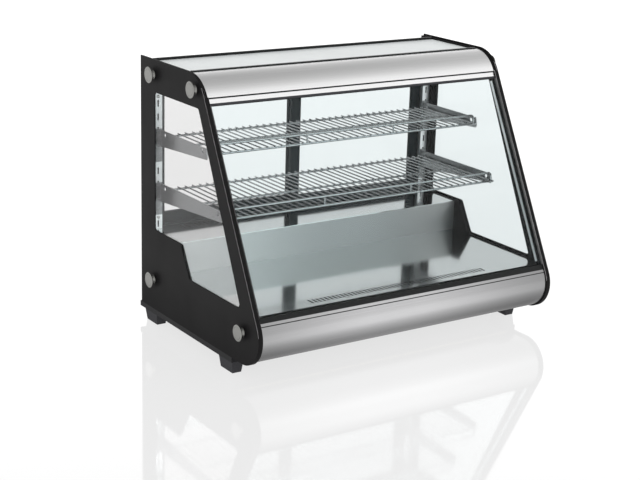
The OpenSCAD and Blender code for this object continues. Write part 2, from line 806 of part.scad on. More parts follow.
module light_switch() {
    pin_y = rear_panel_y + plate_t + 1;
    half = switch_open[1] / 2 - 1.2;
    tilt = 8;
    color([0.75, 0.1, 0.08]) translate([0, pin_y, switch_p[1]]) rotate([-tilt, 0, 0]) union() {
        along_x(switch_p[0] - switch_open[0] / 2 + 0.5, switch_open[0] - 1)
            polygon([[-1.5, -half], [3.5, -half], [2, 0], [3.5, half], [-1.5, half]]);
        bar_x([switch_p[0] - switch_open[0] / 2 - 1.2, 0, 0], 1, switch_open[0] + 2.4);
    }
}

module cord_gland() {
    color([0.1, 0.1, 0.1]) difference() {
        union() {
            along_y([gland_x, rear_panel_y - 8, gland_z], 8, 10);
            translate([gland_x, rear_panel_y, gland_z]) rotate([-90, 0, 0]) cylinder(r = 13, h = 5, $fn = 6);
            along_y([gland_x, rear_panel_y + 4, gland_z], 9, 9);
        }
        along_y([gland_x, rear_panel_y - 9, gland_z], 4, 24);
    }
}

// Lamp under the canopy

module lamp_housing() {
    color("gainsboro") along_x(-lamp_half, 2 * lamp_half) difference() {
        translate(lamp_c - [14, 0]) square([28, 14]);
        translate(lamp_c - [12, 1]) square([24, 10]);
    }
}

module lamp_diffuser() {
    color([1, 1, 0.97]) along_x(-lamp_half + 8, 2 * lamp_half - 16) {
        intersection() {
            translate(lamp_c + [0, 6]) circle(11.5);
            translate(lamp_c + [-12, -8]) square([24, 15]);
        }
        translate(lamp_c + [-12, 5]) square([24, 4]);
    }
}

// Cooling machine

module compressor() {
    low = floor_z + 14;
    high = low + 150;
    round_r = 34;
    color([0.1, 0.1, 0.11]) translate([compressor_x, compressor_y, 0]) {
        rotate_extrude() polygon(concat(
            [[0, low]],
            corner_arc([0, low], [compressor_r, low], [compressor_r, high], round_r),
            corner_arc([compressor_r, low], [compressor_r, high], [0, high], round_r),
            [[0, high]]
        ));
        translate([-92, -48, low - 4]) difference() {
            cube([184, 96, 6]);
            for (x = [12, 172], y = [12, 84]) translate([x, y, -1]) cylinder(r = 6.2, h = 8);
        }
        along_y([40, 20, gas_z], pipe_r + 1.5, stub_y - compressor_y - 20);
        bar_x([50, 0, suction_p[1]], pipe_r + 1.5, stub_x - compressor_x - 50);
    }
}

module compressor_grommets() {
    color([0.08, 0.08, 0.08]) for (x = [-80, 80], y = [-36, 36])
        translate([compressor_x + x, compressor_y + y, floor_z]) {
            cylinder(r = 10, h = 10);
            cylinder(r = 6, h = 20);
        }
}

module condenser() {
    fins = 26;
    size = condenser_size;
    color([0.7, 0.71, 0.72]) translate([fan_x - size[0] / 2, condenser_y, condenser_low]) {
        for (i = [0:fins - 1])
            translate([i * (size[0] - fin_t) / (fins - 1), 0, 0]) cube([fin_t, size[1], size[2]]);
        for (y = [8, 20], i = [0:4]) bar_x([-8, y, 14 + i * 27], coil_tube_r, size[0] + 16);
        for (x = [-6, size[0] + 4])
            translate([x, 3, floor_z - condenser_low]) cube([2, 22, 131 + condenser_low - floor_z]);
    }
}

module condenser_fan_motor() {
    ring_y = condenser_y - 26;
    fan_housing(fan_x, ring_y, fan_z, 64, 74, floor_z, 26);
    color([0.2, 0.2, 0.22]) {
        along_y([fan_x, ring_y - 34, fan_z], 30, 30);
        along_y([fan_x, ring_y - 5, fan_z], 2.5, 24);
    }
}

// Plate with a ring for a fan, three struts and a foot that reaches down to a floor
module fan_housing(x, y, z, r, half, floor, deep) {
    plate = 3;
    strut = 8;
    color([0.2, 0.2, 0.22]) {
        difference() {
            union() {
                translate([x - half, y + deep - plate - 6, floor]) cube([2 * half, plate, z + half - floor]);
                along_y([x, y - 6, z], r + 2, deep - 1);
            }
            along_y([x, y - 7, z], r, deep + 2);
        }
        for (a = [0, 120, 240]) translate([x, y - 6, z]) rotate([0, a, 0])
            translate([-strut / 2, 0, 10]) cube([strut, plate, r - 9]);
    }
}

module fan_wheel(x, y, z, hub_r, tip_r, blade_w, thick, count, bore_r) {
    color([0.3, 0.3, 0.32]) translate([x, y, z]) rotate([-90, 0, 0]) difference() {
        union() {
            cylinder(r = hub_r, h = thick);
            for (i = [0:count - 1]) rotate([0, 0, i * 360 / count])
                translate([hub_r - 2, 0, thick / 2]) rotate([28, 0, 0])
                    translate([0, -blade_w / 2, -0.8]) cube([tip_r - hub_r, blade_w, 1.6]);
        }
        translate([0, 0, -1]) cylinder(r = bore_r, h = thick + 2);
    }
}

module condenser_fan() { fan_wheel(fan_x, condenser_y - 22, fan_z, 16, 58, 28, 14, 5, 2.55); }

module evaporator() {
    fins = 30;
    size = evaporator_size;
    color([0.75, 0.76, 0.77]) translate([cool_fan_x - size[0] / 2, evaporator_y, evaporator_low]) {
        for (i = [0:fins - 1])
            translate([i * (size[0] - fin_t) / (fins - 1), 0, 0]) cube([fin_t, size[1], size[2]]);
        for (y = [18, 45, 72], z = [16, 46]) bar_x([-8, y, z], coil_tube_r, size[0] + 16);
        for (x = [-6, size[0] + 4]) translate([x, 8, -4]) cube([2, 74, 60]);
    }
}

module evaporator_fan_motor() {
    ring_y = evaporator_y + 118;
    fan_housing(cool_fan_x, ring_y, cool_fan_z, 38, 44, floor_z + floor_foam, 26);
    color([0.2, 0.2, 0.22]) {
        along_y([cool_fan_x, ring_y - 24, cool_fan_z], 18, 20);
        along_y([cool_fan_x, ring_y - 5, cool_fan_z], 2, 22);
    }
}

module evaporator_fan() {
    fan_wheel(cool_fan_x, evaporator_y + 122, cool_fan_z, 10, 34, 16, 10, 5, 2.05);
}

// A run of pipe through given points, with a ball at each bend
module pipe_run(pts) {
    for (i = [0:len(pts) - 2]) {
        run = pts[i + 1] - pts[i];
        tip = acos(run[2] / norm(run));
        swing = atan2(run[1], run[0]);
        translate(pts[i]) rotate([0, tip, swing]) cylinder(r = pipe_r, h = norm(run));
    }
    for (i = [1:len(pts) - 2]) translate(pts[i]) sphere(r = pipe_r);
}

module refrigerant_pipes() {
    coil_x = fan_x - condenser_size[0] / 2 - 8;
    coil_y = condenser_y + 20;
    low_y = condenser_y + 8;
    low_z = condenser_low + 14;
    high_z = condenser_low + 122;
    cold_x = cool_fan_x + evaporator_size[0] / 2 + 8;
    gas_x = compressor_x + 40;
    bend_y = duct_wall + foam + 26;
    color([0.72, 0.45, 0.2]) {
        pipe_run([[gas_x, stub_y, gas_z], [gas_x, coil_y + 3, gas_z], [coil_x - 22, coil_y + 3, gas_z],
                  [coil_x - 22, coil_y, high_z], [coil_x, coil_y, high_z]]);
        pipe_run([[coil_x, low_y, low_z], [coil_x - 14, low_y, low_z], [coil_x - 14, bend_y, low_z],
                  [liquid_p[0], bend_y, low_z], [liquid_p[0], bend_y, liquid_p[1]],
                  [liquid_p[0], evaporator_y + 18, liquid_p[1]], [cold_x, evaporator_y + 18, liquid_p[1]]]);
        pipe_run([[cold_x, evaporator_y + 72, suction_p[1]], [suction_p[0], evaporator_y + 72, suction_p[1]],
                  [suction_p[0], compressor_y, suction_p[1]], [stub_x, compressor_y, suction_p[1]]]);
    }
}

base_pan();
foot_front_left();
foot_front_right();
foot_rear_left();
foot_rear_right();
foot_screws();
left_side_panel();
right_side_panel();
left_side_glass();
right_side_glass();
left_panel_caps();
right_panel_caps();
front_glass();
front_glass_upper_seal();
front_glass_sill();
front_glass_side_strips();
canopy();
top_sheet();
top_trim();
fascia();
deck();
step_front();
step_top();
insulation();
left_pilaster();
right_pilaster();
panel_screws();
upper_left_bracket();
upper_right_bracket();
lower_left_bracket();
lower_right_bracket();
upper_shelf();
upper_shelf_rail();
lower_shelf();
lower_shelf_rail();
door_header();
door_sill();
left_door_frame();
left_door_glass();
left_door_glides();
right_door_frame();
right_door_glass();
right_door_glides();
rear_panel();
control_plate();
thermostat_knob();
light_switch();
cord_gland();
lamp_housing();
lamp_diffuser();
compressor();
compressor_grommets();
condenser();
condenser_fan_motor();
condenser_fan();
evaporator();
evaporator_fan_motor();
evaporator_fan();
refrigerant_pipes();
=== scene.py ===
"""Finishes and fittings of a countertop glass display case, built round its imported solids."""

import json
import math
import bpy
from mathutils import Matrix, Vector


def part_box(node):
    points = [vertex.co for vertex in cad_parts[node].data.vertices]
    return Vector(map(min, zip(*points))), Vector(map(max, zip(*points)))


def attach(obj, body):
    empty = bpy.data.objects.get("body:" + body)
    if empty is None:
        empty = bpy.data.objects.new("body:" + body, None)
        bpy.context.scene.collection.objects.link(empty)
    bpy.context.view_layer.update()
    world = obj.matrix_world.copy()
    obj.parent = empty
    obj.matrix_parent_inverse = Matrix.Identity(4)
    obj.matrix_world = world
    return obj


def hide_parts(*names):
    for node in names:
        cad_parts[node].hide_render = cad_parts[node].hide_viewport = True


bl_info = {
    "name": "Glass display case",
    "version": (1, 0, 0),
    "blender": (4, 5, 0),
    "location": "View3D > Sidebar > Display Case",
    "description": "Finishes and fittings of a countertop glass display case",
    "category": "Object",
}

from typing import NamedTuple

import bmesh
import bpy
from mathutils import Matrix, Vector

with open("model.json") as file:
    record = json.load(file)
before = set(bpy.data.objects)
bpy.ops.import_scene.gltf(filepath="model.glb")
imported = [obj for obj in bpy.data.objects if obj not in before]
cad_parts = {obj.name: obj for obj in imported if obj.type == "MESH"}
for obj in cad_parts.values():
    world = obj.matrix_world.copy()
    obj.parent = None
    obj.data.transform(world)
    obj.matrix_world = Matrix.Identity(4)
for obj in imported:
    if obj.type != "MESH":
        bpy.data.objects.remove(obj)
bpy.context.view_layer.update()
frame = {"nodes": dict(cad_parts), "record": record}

MM = 0.001
X_AXIS = Vector((1, 0, 0))
Y_AXIS = Vector((0, 1, 0))
Z_AXIS = Vector((0, 0, 1))
SIDES = ("left", "right")

# The leaning front: the upper end of its line, its lean, the way down along it and the way into the case
FRONT_TOP = Vector((0, -33.371, 632.498)) * MM
FRONT_LEAN = math.radians(27.4)
FRONT_DOWN = Vector((0, -math.sin(FRONT_LEAN), -math.cos(FRONT_LEAN)))
FRONT_IN = Vector((0, math.cos(FRONT_LEAN), -math.sin(FRONT_LEAN)))

# The materials by the name of their slot or finish, which the finishes operator fills
FINISHES = {}


def colour(name, text, value):
    """A colour that the user can change."""
    return bpy.props.FloatVectorProperty(
        name=name, description=text, subtype="COLOR", size=3, min=0.0, max=1.0, default=value
    )


def length(name, text, value):
    """A length in metres that the user can change."""
    return bpy.props.FloatProperty(
        name=name, description=text, unit="LENGTH", min=0.0, precision=4, default=value
    )


class CaseColours(bpy.types.PropertyGroup):
    """Colours of the case's finishes."""

    panel: colour("Side panels", "Satin black of the side panels", (0.0105, 0.0102, 0.0105))
    canopy: colour("Canopy", "Brushed metal of the canopy", (0.86, 0.86, 0.86))
    fascia: colour("Fascia", "Brushed metal of the fascia", (0.5, 0.5, 0.505))
    sheet: colour("Top sheet", "Pale sheet on top", (0.7, 0.73, 0.73))
    front: colour("Front glass", "Tint of the front glass", (0.856, 0.919, 0.924))
    panes: colour("Panes", "Tint of the side and door panes", (0.8245, 0.8235, 0.823))
    door: colour("Doors", "Frames and tracks of the rear doors", (0.009, 0.015, 0.018))
    deck: colour("Deck", "Polished deck and step top", (0.6, 0.61, 0.61))
    wire: colour("Shelf wires", "Plated wires and rails", (0.38, 0.385, 0.39))
    zinc: colour("Brackets", "Galvanised shelf brackets", (0.3, 0.305, 0.31))
    rear: colour("Rear panel", "Painted service panel", (0.56, 0.57, 0.57))
    floor: colour("Floor", "Studio floor", (0.12, 0.12, 0.12))


class CaseSizes(bpy.types.PropertyGroup):
    """Sizes of the edges and the small fittings."""

    panel_edge: length("Panel edge", "Chamfer along the side panels' edges", 1.8 * MM)
    foot_edge: length("Foot edge", "Round on the feet's edges", 1.8 * MM)
    frame_edge: length("Frame edge", "Round on the door frames' edges", 0.8 * MM)
    plate_edge: length("Plate edge", "Chamfer on the brackets' and pilasters' edges", 0.35 * MM)
    strip_edge: length("Strip edge", "Round on the black strips' edges", 0.4 * MM)
    screw_head: length("Screw head", "Radius of the screw heads", 4.0 * MM)
    louvre_depth: length("Louvre depth", "How far the louvres stand out", 4.5 * MM)


# Meshes

# Vertices of a solid that lie this close are one, and faces that turn by less than this are flat
WELD_GAP = 2e-6
FLAT_TURN = math.radians(0.5)
# A turned or swept shape closes its seams within this gap
SEAM_GAP = 1e-6
# Edges that turn by more than this are rounded
ROUNDED_TURN = math.radians(35)


def link_piece(name, shape, slot, body="case", sharp=30, finish=None):
    """Turns a bmesh into a piece that rides on a body. Its finish is its slot's unless another is named."""
    mesh = bpy.data.meshes.new(name)
    shape.to_mesh(mesh)
    shape.free()
    mesh.materials.append(FINISHES[finish or slot])
    mesh.shade_smooth()
    mesh.set_sharp_from_angle(angle=math.radians(sharp))
    piece = bpy.data.objects.new(name, mesh)
    piece.modifiers.new("even_shading", "WEIGHTED_NORMAL").keep_sharp = True
    bpy.context.scene.collection.objects.link(piece)
    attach(piece, body)
    return piece


def slot_of(node):
    """The record's material slot of a node."""
    for part in frame["record"]["subparts"]:
        if part["node"] == node:
            return part["material_slot"]
    raise RuntimeError("no slot for " + node)


def solid_copy(node):
    """A merged copy of a node's mesh, with its flat faces joined."""
    shape = bmesh.new()
    shape.from_mesh(frame["nodes"][node].data)
    bmesh.ops.remove_doubles(shape, verts=shape.verts, dist=WELD_GAP)
    bmesh.ops.dissolve_limit(
        shape, angle_limit=FLAT_TURN, use_dissolve_boundaries=False, verts=shape.verts, edges=shape.edges
    )
    return shape


def bevel(shape, edges, width, segments):
    """Rounds edges by a width, or chamfers them where there is one segment."""
    bmesh.ops.bevel(
        shape, geom=edges, offset=width, offset_type="OFFSET", segments=segments, profile=0.5,
        affect="EDGES", clamp_overlap=True, material=-1
    )


def round_edges(shape, width, segments):
    """Rounds every sharp edge."""
    closed = [e for e in shape.edges if len(e.link_faces) == 2]
    bevel(shape, [e for e in closed if e.calc_face_angle() > ROUNDED_TURN], width, segments)


def softened(node, width, body="case", segments=2):
    """Stands in for a node with the same shape and finish, and rounded edges."""
    shape = solid_copy(node)
    round_edges(shape, width, segments)
    piece = link_piece(node + "_soft", shape, slot_of(node), body)
    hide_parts(node)


def turned(shape, outline, centre, axis, radial, steps):
    """Spins an outline of radius and height pairs in millimetres about an axis."""
    verts = [shape.verts.new(centre + radial * (r * MM) + axis * (h * MM)) for r, h in outline]
    edges = [shape.edges.new(pair) for pair in zip(verts, verts[1:])]
    bmesh.ops.spin(
        shape, geom=verts + edges, cent=centre, axis=axis, angle=math.tau, steps=steps,
        dvec=(0, 0, 0), use_merge=True, use_duplicate=False
    )


def clean(shape):
    """Merges doubles and turns the faces outwards."""
    bmesh.ops.remove_doubles(shape, verts=shape.verts, dist=SEAM_GAP)
    bmesh.ops.recalc_face_normals(shape, faces=shape.faces)


def block(shape, low, high, width=0.0):
    """A box between two corners, with its edges rounded by a width. A plain box's corners are returned."""
    low, high = Vector(low), Vector(high)
    made = bmesh.ops.create_cube(shape, size=1.0)["verts"]
    bmesh.ops.scale(shape, vec=high - low, verts=made)
    bmesh.ops.translate(shape, vec=(low + high) / 2, verts=made)
    if width:
        bevel(shape, list({e for v in made for e in v.link_edges}), width, segments=2)
        return []
    return made


def front_bar(shape, across, stations, insets):
    """A bar on the leaning front, in millimetres across it, down it and into the case."""
    low, high = zip(across, stations, insets)
    made = block(shape, low, high)
    turn = Matrix((X_AXIS, FRONT_DOWN, FRONT_IN)).transposed().to_4x4()
    place = Matrix.Translation(FRONT_TOP) @ turn @ Matrix.Scale(MM, 4)
    bmesh.ops.transform(shape, matrix=place, verts=made)


def facing(point, axis):
    """A matrix that stands +Z up along an axis at a point."""
    return Matrix.Translation(point) @ Z_AXIS.rotation_difference(axis).to_matrix().to_4x4()


# Shader node groups

# Where a Mix node keeps its factor, its two colours and the colour that it puts out
MIX_FACTOR, MIX_FIRST, MIX_SECOND, MIX_RESULT = 0, 6, 7, 2


def node_group(name, inputs, output_labels):
    """A new shader group with named inputs, and outputs that are values."""
    tree = bpy.data.node_groups.new(name, "ShaderNodeTree")
    for label, kind, value in inputs:
        socket = tree.interface.new_socket(name=label, in_out="INPUT", socket_type=kind)
        socket.default_value = value
    for label in output_labels:
        tree.interface.new_socket(name=label, in_out="OUTPUT", socket_type="NodeSocketFloat")
    return tree, tree.nodes.new("NodeGroupInput"), tree.nodes.new("NodeGroupOutput")


def arithmetic(tree, operation, *constants):
    """A Math node, with constants from its second socket on."""
    node = tree.nodes.new("ShaderNodeMath")
    node.operation = operation
    for socket, value in zip(node.inputs[1:], constants):
        socket.default_value = value
    return node


def spread(tree, places, values, smooth=False):
    """A Map Range node that goes from one value to another between two places."""
    node = tree.nodes.new("ShaderNodeMapRange")
    if smooth:
        node.interpolation_type = "SMOOTHSTEP"
    for label, value in zip(("From Min", "From Max", "To Min", "To Max"), (*places, *values)):
        node.inputs[label].default_value = value
    return node


def drawn_lines():
    """Long fine lines, as brushing and rolling leave them. Stretch is small along the lines."""
    tree, given, out = node_group(
        "Drawn lines",
        [("Stretch", "NodeSocketVector", (3.0, 900.0, 900.0))],
        ["Lines"],
    )
    place = tree.nodes.new("ShaderNodeTexCoord")
    scale = tree.nodes.new("ShaderNodeVectorMath")
    scale.operation = "MULTIPLY"
    noise = tree.nodes.new("ShaderNodeTexNoise")
    noise.inputs["Scale"].default_value = 1.0
    noise.inputs["Detail"].default_value = 2.0
    noise.inputs["Roughness"].default_value = 0.65
    tree.links.new(place.outputs["Object"], scale.inputs[0])
    tree.links.new(given.outputs["Stretch"], scale.inputs[1])
    tree.links.new(scale.outputs[0], noise.inputs["Vector"])
    tree.links.new(noise.outputs["Fac"], out.inputs["Lines"])
    return tree


def fine_grain():
    """Small even bumps, as on powder coat, rubber and moulded plastic, and broad slow variation."""
    tree, given, out = node_group(
        "Fine grain",
        [("Grain", "NodeSocketFloat", 900.0), ("Broad", "NodeSocketFloat", 9.0)],
        ["Height", "Patches"],
    )
    place = tree.nodes.new("ShaderNodeTexCoord")
    for label, outlet, detail in (("Grain", "Height", 2.0), ("Broad", "Patches", 3.0)):
        noise = tree.nodes.new("ShaderNodeTexNoise")
        noise.inputs["Detail"].default_value = detail
        tree.links.new(place.outputs["Object"], noise.inputs["Vector"])
        tree.links.new(given.outputs[label], noise.inputs["Scale"])
        tree.links.new(noise.outputs["Fac"], out.inputs[outlet])
    return tree


def painted_light_band():
    """A painted highlight: one wide soft band of light across the part, bright at its centre and dim
    towards its reach.
    """
    tree, given, out = node_group(
        "Broad sheen",
        [("Centre", "NodeSocketFloat", 0.0), ("Reach", "NodeSocketFloat", 0.5)],
        ["Sheen"],
    )
    place = tree.nodes.new("ShaderNodeTexCoord")
    split = tree.nodes.new("ShaderNodeSeparateXYZ")
    aside = arithmetic(tree, "SUBTRACT")
    away = arithmetic(tree, "ABSOLUTE")
    fall = spread(tree, (0.0, 1.0), (1.0, 0.0), smooth=True)
    tree.links.new(place.outputs["Object"], split.inputs[0])
    tree.links.new(split.outputs["X"], aside.inputs[0])
    tree.links.new(given.outputs["Centre"], aside.inputs[1])
    tree.links.new(aside.outputs[0], away.inputs[0])
    tree.links.new(away.outputs[0], fall.inputs["Value"])
    tree.links.new(given.outputs["Reach"], fall.inputs["From Max"])
    tree.links.new(fall.outputs["Result"], out.inputs["Sheen"])
    return tree


def zinc_spangle():
    """Crystal flakes of a zinc coat."""
    tree, given, out = node_group("Zinc spangle", [("Flakes", "NodeSocketFloat", 220.0)], ["Flake"])
    place = tree.nodes.new("ShaderNodeTexCoord")
    cells = tree.nodes.new("ShaderNodeTexVoronoi")
    split = tree.nodes.new("ShaderNodeSeparateColor")
    tree.links.new(place.outputs["Object"], cells.inputs["Vector"])
    tree.links.new(given.outputs["Flakes"], cells.inputs["Scale"])
    tree.links.new(cells.outputs["Color"], split.inputs["Color"])
    tree.links.new(split.outputs["Red"], out.inputs["Flake"])
    return tree


# Materials

# Most of a noise lies between these values
NOISE_SPAN = (0.25, 0.75)
# How strongly grain and brushed lines raise the surface
GRAIN_BUMP = 0.35
LINES_BUMP = 0.25
# Scale of a coat's slow variation, and its darkest and lightest tone
COAT_PATCHES = 9.0
COAT_TONES = (0.88, 1.12)
# How much the brushed lines show within a painted highlight band
LINES_IN_BAND = 0.12
# The face attribute that marks a panel's edge for its painted highlight, its value there, and how much
# lighter the painted highlight makes the edge
PAINTED_HIGHLIGHT_ATTRIBUTE = "edge_shine"
PAINTED_HIGHLIGHT_MARK = 1.5
PAINTED_HIGHLIGHT_GAIN = 85.0


class Finish:
    """A material under work: one Principled shader and the nodes that feed it."""

    def __init__(self, name, base, metallic, roughness, **sockets):
        self.material = bpy.data.materials.new(name)
        self.material.use_nodes = True
        self.tree = self.material.node_tree
        self.shader = self.tree.nodes["Principled BSDF"]
        self.base = base
        self.set("Base Color", (*base, 1.0))
        self.set("Metallic", metallic)
        self.set("Roughness", roughness)
        for label, value in sockets.items():
            self.set(label.replace("_", " "), value)

    def set(self, label, value):
        """Gives a socket of the shader its plain value."""
        self.shader.inputs[label].default_value = value

    def link(self, outlet, inlet):
        """Joins two sockets."""
        self.tree.links.new(outlet, inlet)

    def effect(self, group, **values):
        """Places a shared effect with its own values."""
        node = self.tree.nodes.new("ShaderNodeGroup")
        node.node_tree = group
        for label, value in values.items():
            node.inputs[label].default_value = value
        return node

    def tones(self, mask, dark, light):
        """Mixes two tones of the base colour by a mask."""
        mix = self.tree.nodes.new("ShaderNodeMix")
        mix.data_type = "RGBA"
        mix.inputs[MIX_FIRST].default_value = (*[c * dark for c in self.base], 1.0)
        mix.inputs[MIX_SECOND].default_value = (*[min(c * light, 1.0) for c in self.base], 1.0)
        self.link(mask, mix.inputs[MIX_FACTOR])
        self.link(mix.outputs[MIX_RESULT], self.shader.inputs["Base Color"])

    def gloss(self, mask, low, high):
        """Spreads a mask over a range of roughness."""
        span = spread(self.tree, NOISE_SPAN, (low, high))
        self.link(mask, span.inputs["Value"])
        self.link(span.outputs["Result"], self.shader.inputs["Roughness"])

    def bumps(self, height, strength, distance):
        """Raises the surface a little by a mask."""
        bump = self.tree.nodes.new("ShaderNodeBump")
        bump.inputs["Strength"].default_value = strength
        bump.inputs["Distance"].default_value = distance
        self.link(height, bump.inputs["Height"])
        self.link(bump.outputs["Normal"], self.shader.inputs["Normal"])

    def swap_surface(self, chosen, other):
        """Shows another shader wherever a mask asks for it."""
        mix = self.tree.nodes.new("ShaderNodeMixShader")
        self.link(chosen, mix.inputs[0])
        self.link(self.shader.outputs[0], mix.inputs[1])
        self.link(other.outputs[0], mix.inputs[2])
        self.link(mix.outputs[0], self.tree.nodes["Material Output"].inputs["Surface"])


class Coat(NamedTuple):
    """Paint, plastic or rubber. Its base is a colour or the name of one of the case's colours."""

    name: str
    base: object
    rough: tuple
    grain: float = 900.0
    depth: float = 0.06 * MM
    specular: float = 0.5


class Brushing(NamedTuple):
    """Metal with fine lines. Its base is as a coat's, and its band is the centre and reach of a painted
    highlight.
    """

    name: str
    base: object
    rough: tuple
    stretch: tuple = (3.0, 900.0, 900.0)
    tones: tuple = (0.9, 1.1)
    depth: float = 0.03 * MM
    band: tuple = ()


COATS = {
    "dark_pan": Coat("Dark pan paint", (0.012, 0.012, 0.013), (0.4, 0.52), specular=0.2),
    "rubber_black": Coat("Black rubber", (0.036, 0.036, 0.04), (0.6, 0.75), 1200.0, 0.1 * MM, 0.25),
    "strip_black": Coat("Black strip", (0.008, 0.009, 0.009), (0.36, 0.46), 900.0, 0.03 * MM, 0.2),
    # Painted shade: the dark plates in the air slots stand in for the shade in them
    "slot_shade_black": Coat("Black mesh screen", (0.004, 0.004, 0.004), (0.85, 0.95), 900.0, 0.03 * MM, 0.0),
    "bead_grey": Coat("Grey sealing bead", (0.13, 0.13, 0.13), (0.5, 0.6), 900.0, 0.03 * MM),
    "pale_sheet": Coat("Pale sheet", "sheet", (0.28, 0.36), 500.0, 0.02 * MM),
    "foam_cream": Coat("Cream foam", (0.75, 0.68, 0.5), (0.8, 0.95), 400.0, 0.4 * MM),
    "door_dark": Coat("Door frame plastic", "door", (0.34, 0.46), 800.0, 0.04 * MM, 0.2),
    "glide_white": Coat("White nylon", (0.78, 0.78, 0.75), (0.4, 0.5)),
    "rear_grey": Coat("Rear panel paint", "rear", (0.4, 0.5), 700.0, 0.05 * MM),
    "control_black": Coat("Control plastic", (0.015, 0.015, 0.016), (0.34, 0.44), 900.0, 0.05 * MM),
    "switch_red": Coat("Red rocker", (0.45, 0.012, 0.01), (0.14, 0.22), 500.0, 0.01 * MM),
    "lamp_white": Coat("Lamp channel", (0.78, 0.78, 0.75), (0.35, 0.45)),
    "compressor_black": Coat("Compressor paint", (0.014, 0.014, 0.015), (0.25, 0.4), 300.0, 0.1 * MM),
    "fan_black": Coat("Fan plastic", (0.02, 0.02, 0.022), (0.4, 0.5)),
}

BRUSHINGS = {
    "steel_bright": Brushing("Screw steel", (0.6, 0.6, 0.59), (0.22, 0.34), (500.0, 500.0, 500.0)),
    "cap_silver": Brushing("Turned steel", (0.21, 0.21, 0.2), (0.18, 0.28), (700.0, 700.0, 700.0)),
    "strip_silver": Brushing(
        "Pale strip", (0.93, 0.94, 0.95), (0.5, 0.6), (600.0, 60.0, 4.0), (0.95, 1.05)
    ),
    "brushed_skin": Brushing(
        "Brushed canopy", "canopy", (0.22, 0.28), (2.0, 1500.0, 1500.0), (0.97, 1.03), 0.006 * MM
    ),
    # Painted highlight: the fascia's colour is brightest in a wide band near its middle and dims to half
    # towards its ends
    "brushed_fascia": Brushing(
        "Brushed fascia", "fascia", (0.22, 0.28), (2.0, 1500.0, 1500.0), (0.5, 1.0), 0.006 * MM,
        band=(-0.05, 0.55)
    ),
    "polished_deck": Brushing(
        "Mirror deck", "deck", (0.08, 0.13), (2.0, 300.0, 300.0), (0.97, 1.03), 0.004 * MM
    ),
    # Painted highlight: the step's colour is brightest at its left end and dims to 0.62 of it within the
    # reach
    "satin_step": Brushing(
        "Satin step", (0.68, 0.685, 0.685), (0.46, 0.52), (2.0, 600.0, 600.0), (0.62, 1.0), 0.0002 * MM,
        band=(-0.42, 0.45)
    ),
    "pilaster_silver": Brushing("Silver channel", (0.9, 0.91, 0.92), (0.28, 0.4), (700.0, 700.0, 4.0)),
    "wire_chrome": Brushing("Plated wire", "wire", (0.14, 0.24), (200.0, 200.0, 200.0)),
    "coil_aluminium": Brushing("Coil fins", (0.62, 0.63, 0.64), (0.3, 0.45), (900.0, 40.0, 40.0)),
    "pipe_copper": Brushing(
        "Copper tube", (0.72, 0.38, 0.22), (0.2, 0.35), (120.0, 120.0, 120.0), (0.75, 1.1)
    ),
}

# The panels' coat, which has a painted highlight on its marked edge as well
PANEL_COAT = Coat("Black panel coat", "panel", (0.36, 0.48), 700.0, 0.05 * MM, 0.04)

# The panes: scale of the smears on them, and their roughness
PANE_SMEARS = 6.0
PANE_ROUGH = (0.0, 0.015)
# A low index, so that the panes mirror and bend little of what stands behind them
PANE_IOR = 1.18

# The zinc coat: scale of its flakes, and their tones and roughness
ZINC_METAL = 0.9
ZINC_FLAKES = 240.0
ZINC_TONES = (0.86, 1.16)
ZINC_ROUGH = (0.32, 0.46)

# The lamp's diffuser: its colour, its light and how strong it is, and its slow variation
LAMP_BASE = (0.9, 0.9, 0.87)
LAMP_LIGHT = (1.0, 0.98, 0.94, 1.0)
LAMP_GLOW = 2.0
LAMP_PATCHES = 20.0
LAMP_ROUGH = (0.45, 0.55)

# Nodes whose finish isn't their slot's
OWN_FINISH = {"fascia": "brushed_fascia", "front_glass": "front_pane"}


def coated(groups, coat, base):
    """Paint, plastic or rubber with a fine grain."""
    made = Finish(coat.name, base, 0.0, sum(coat.rough) / 2, Specular_IOR_Level=coat.specular)
    skin = made.effect(groups["grain"], Grain=coat.grain, Broad=COAT_PATCHES)
    made.tones(skin.outputs["Patches"], *COAT_TONES)
    made.gloss(skin.outputs["Patches"], *coat.rough)
    made.bumps(skin.outputs["Height"], GRAIN_BUMP, coat.depth)
    return made.material


def brushed(groups, metal, base):
    """Metal with lines along its rolling direction, and one wide painted highlight in its colour where it
    has a band.
    """
    made = Finish(metal.name, base, 1.0, sum(metal.rough) / 2)
    lines = made.effect(groups["lines"], Stretch=metal.stretch).outputs["Lines"]
    mask = lines
    # Painted highlight: the band lightens the colour at its centre and dims it towards its reach
    if metal.band:
        centre, reach = metal.band
        band = made.effect(groups["sheen"], Centre=centre, Reach=reach)
        both = arithmetic(made.tree, "MULTIPLY_ADD", LINES_IN_BAND)
        made.link(lines, both.inputs[0])
        made.link(band.outputs["Sheen"], both.inputs[2])
        mask = both.outputs[0]
    made.tones(mask, *metal.tones)
    made.gloss(lines, *metal.rough)
    made.bumps(lines, LINES_BUMP, metal.depth)
    return made.material


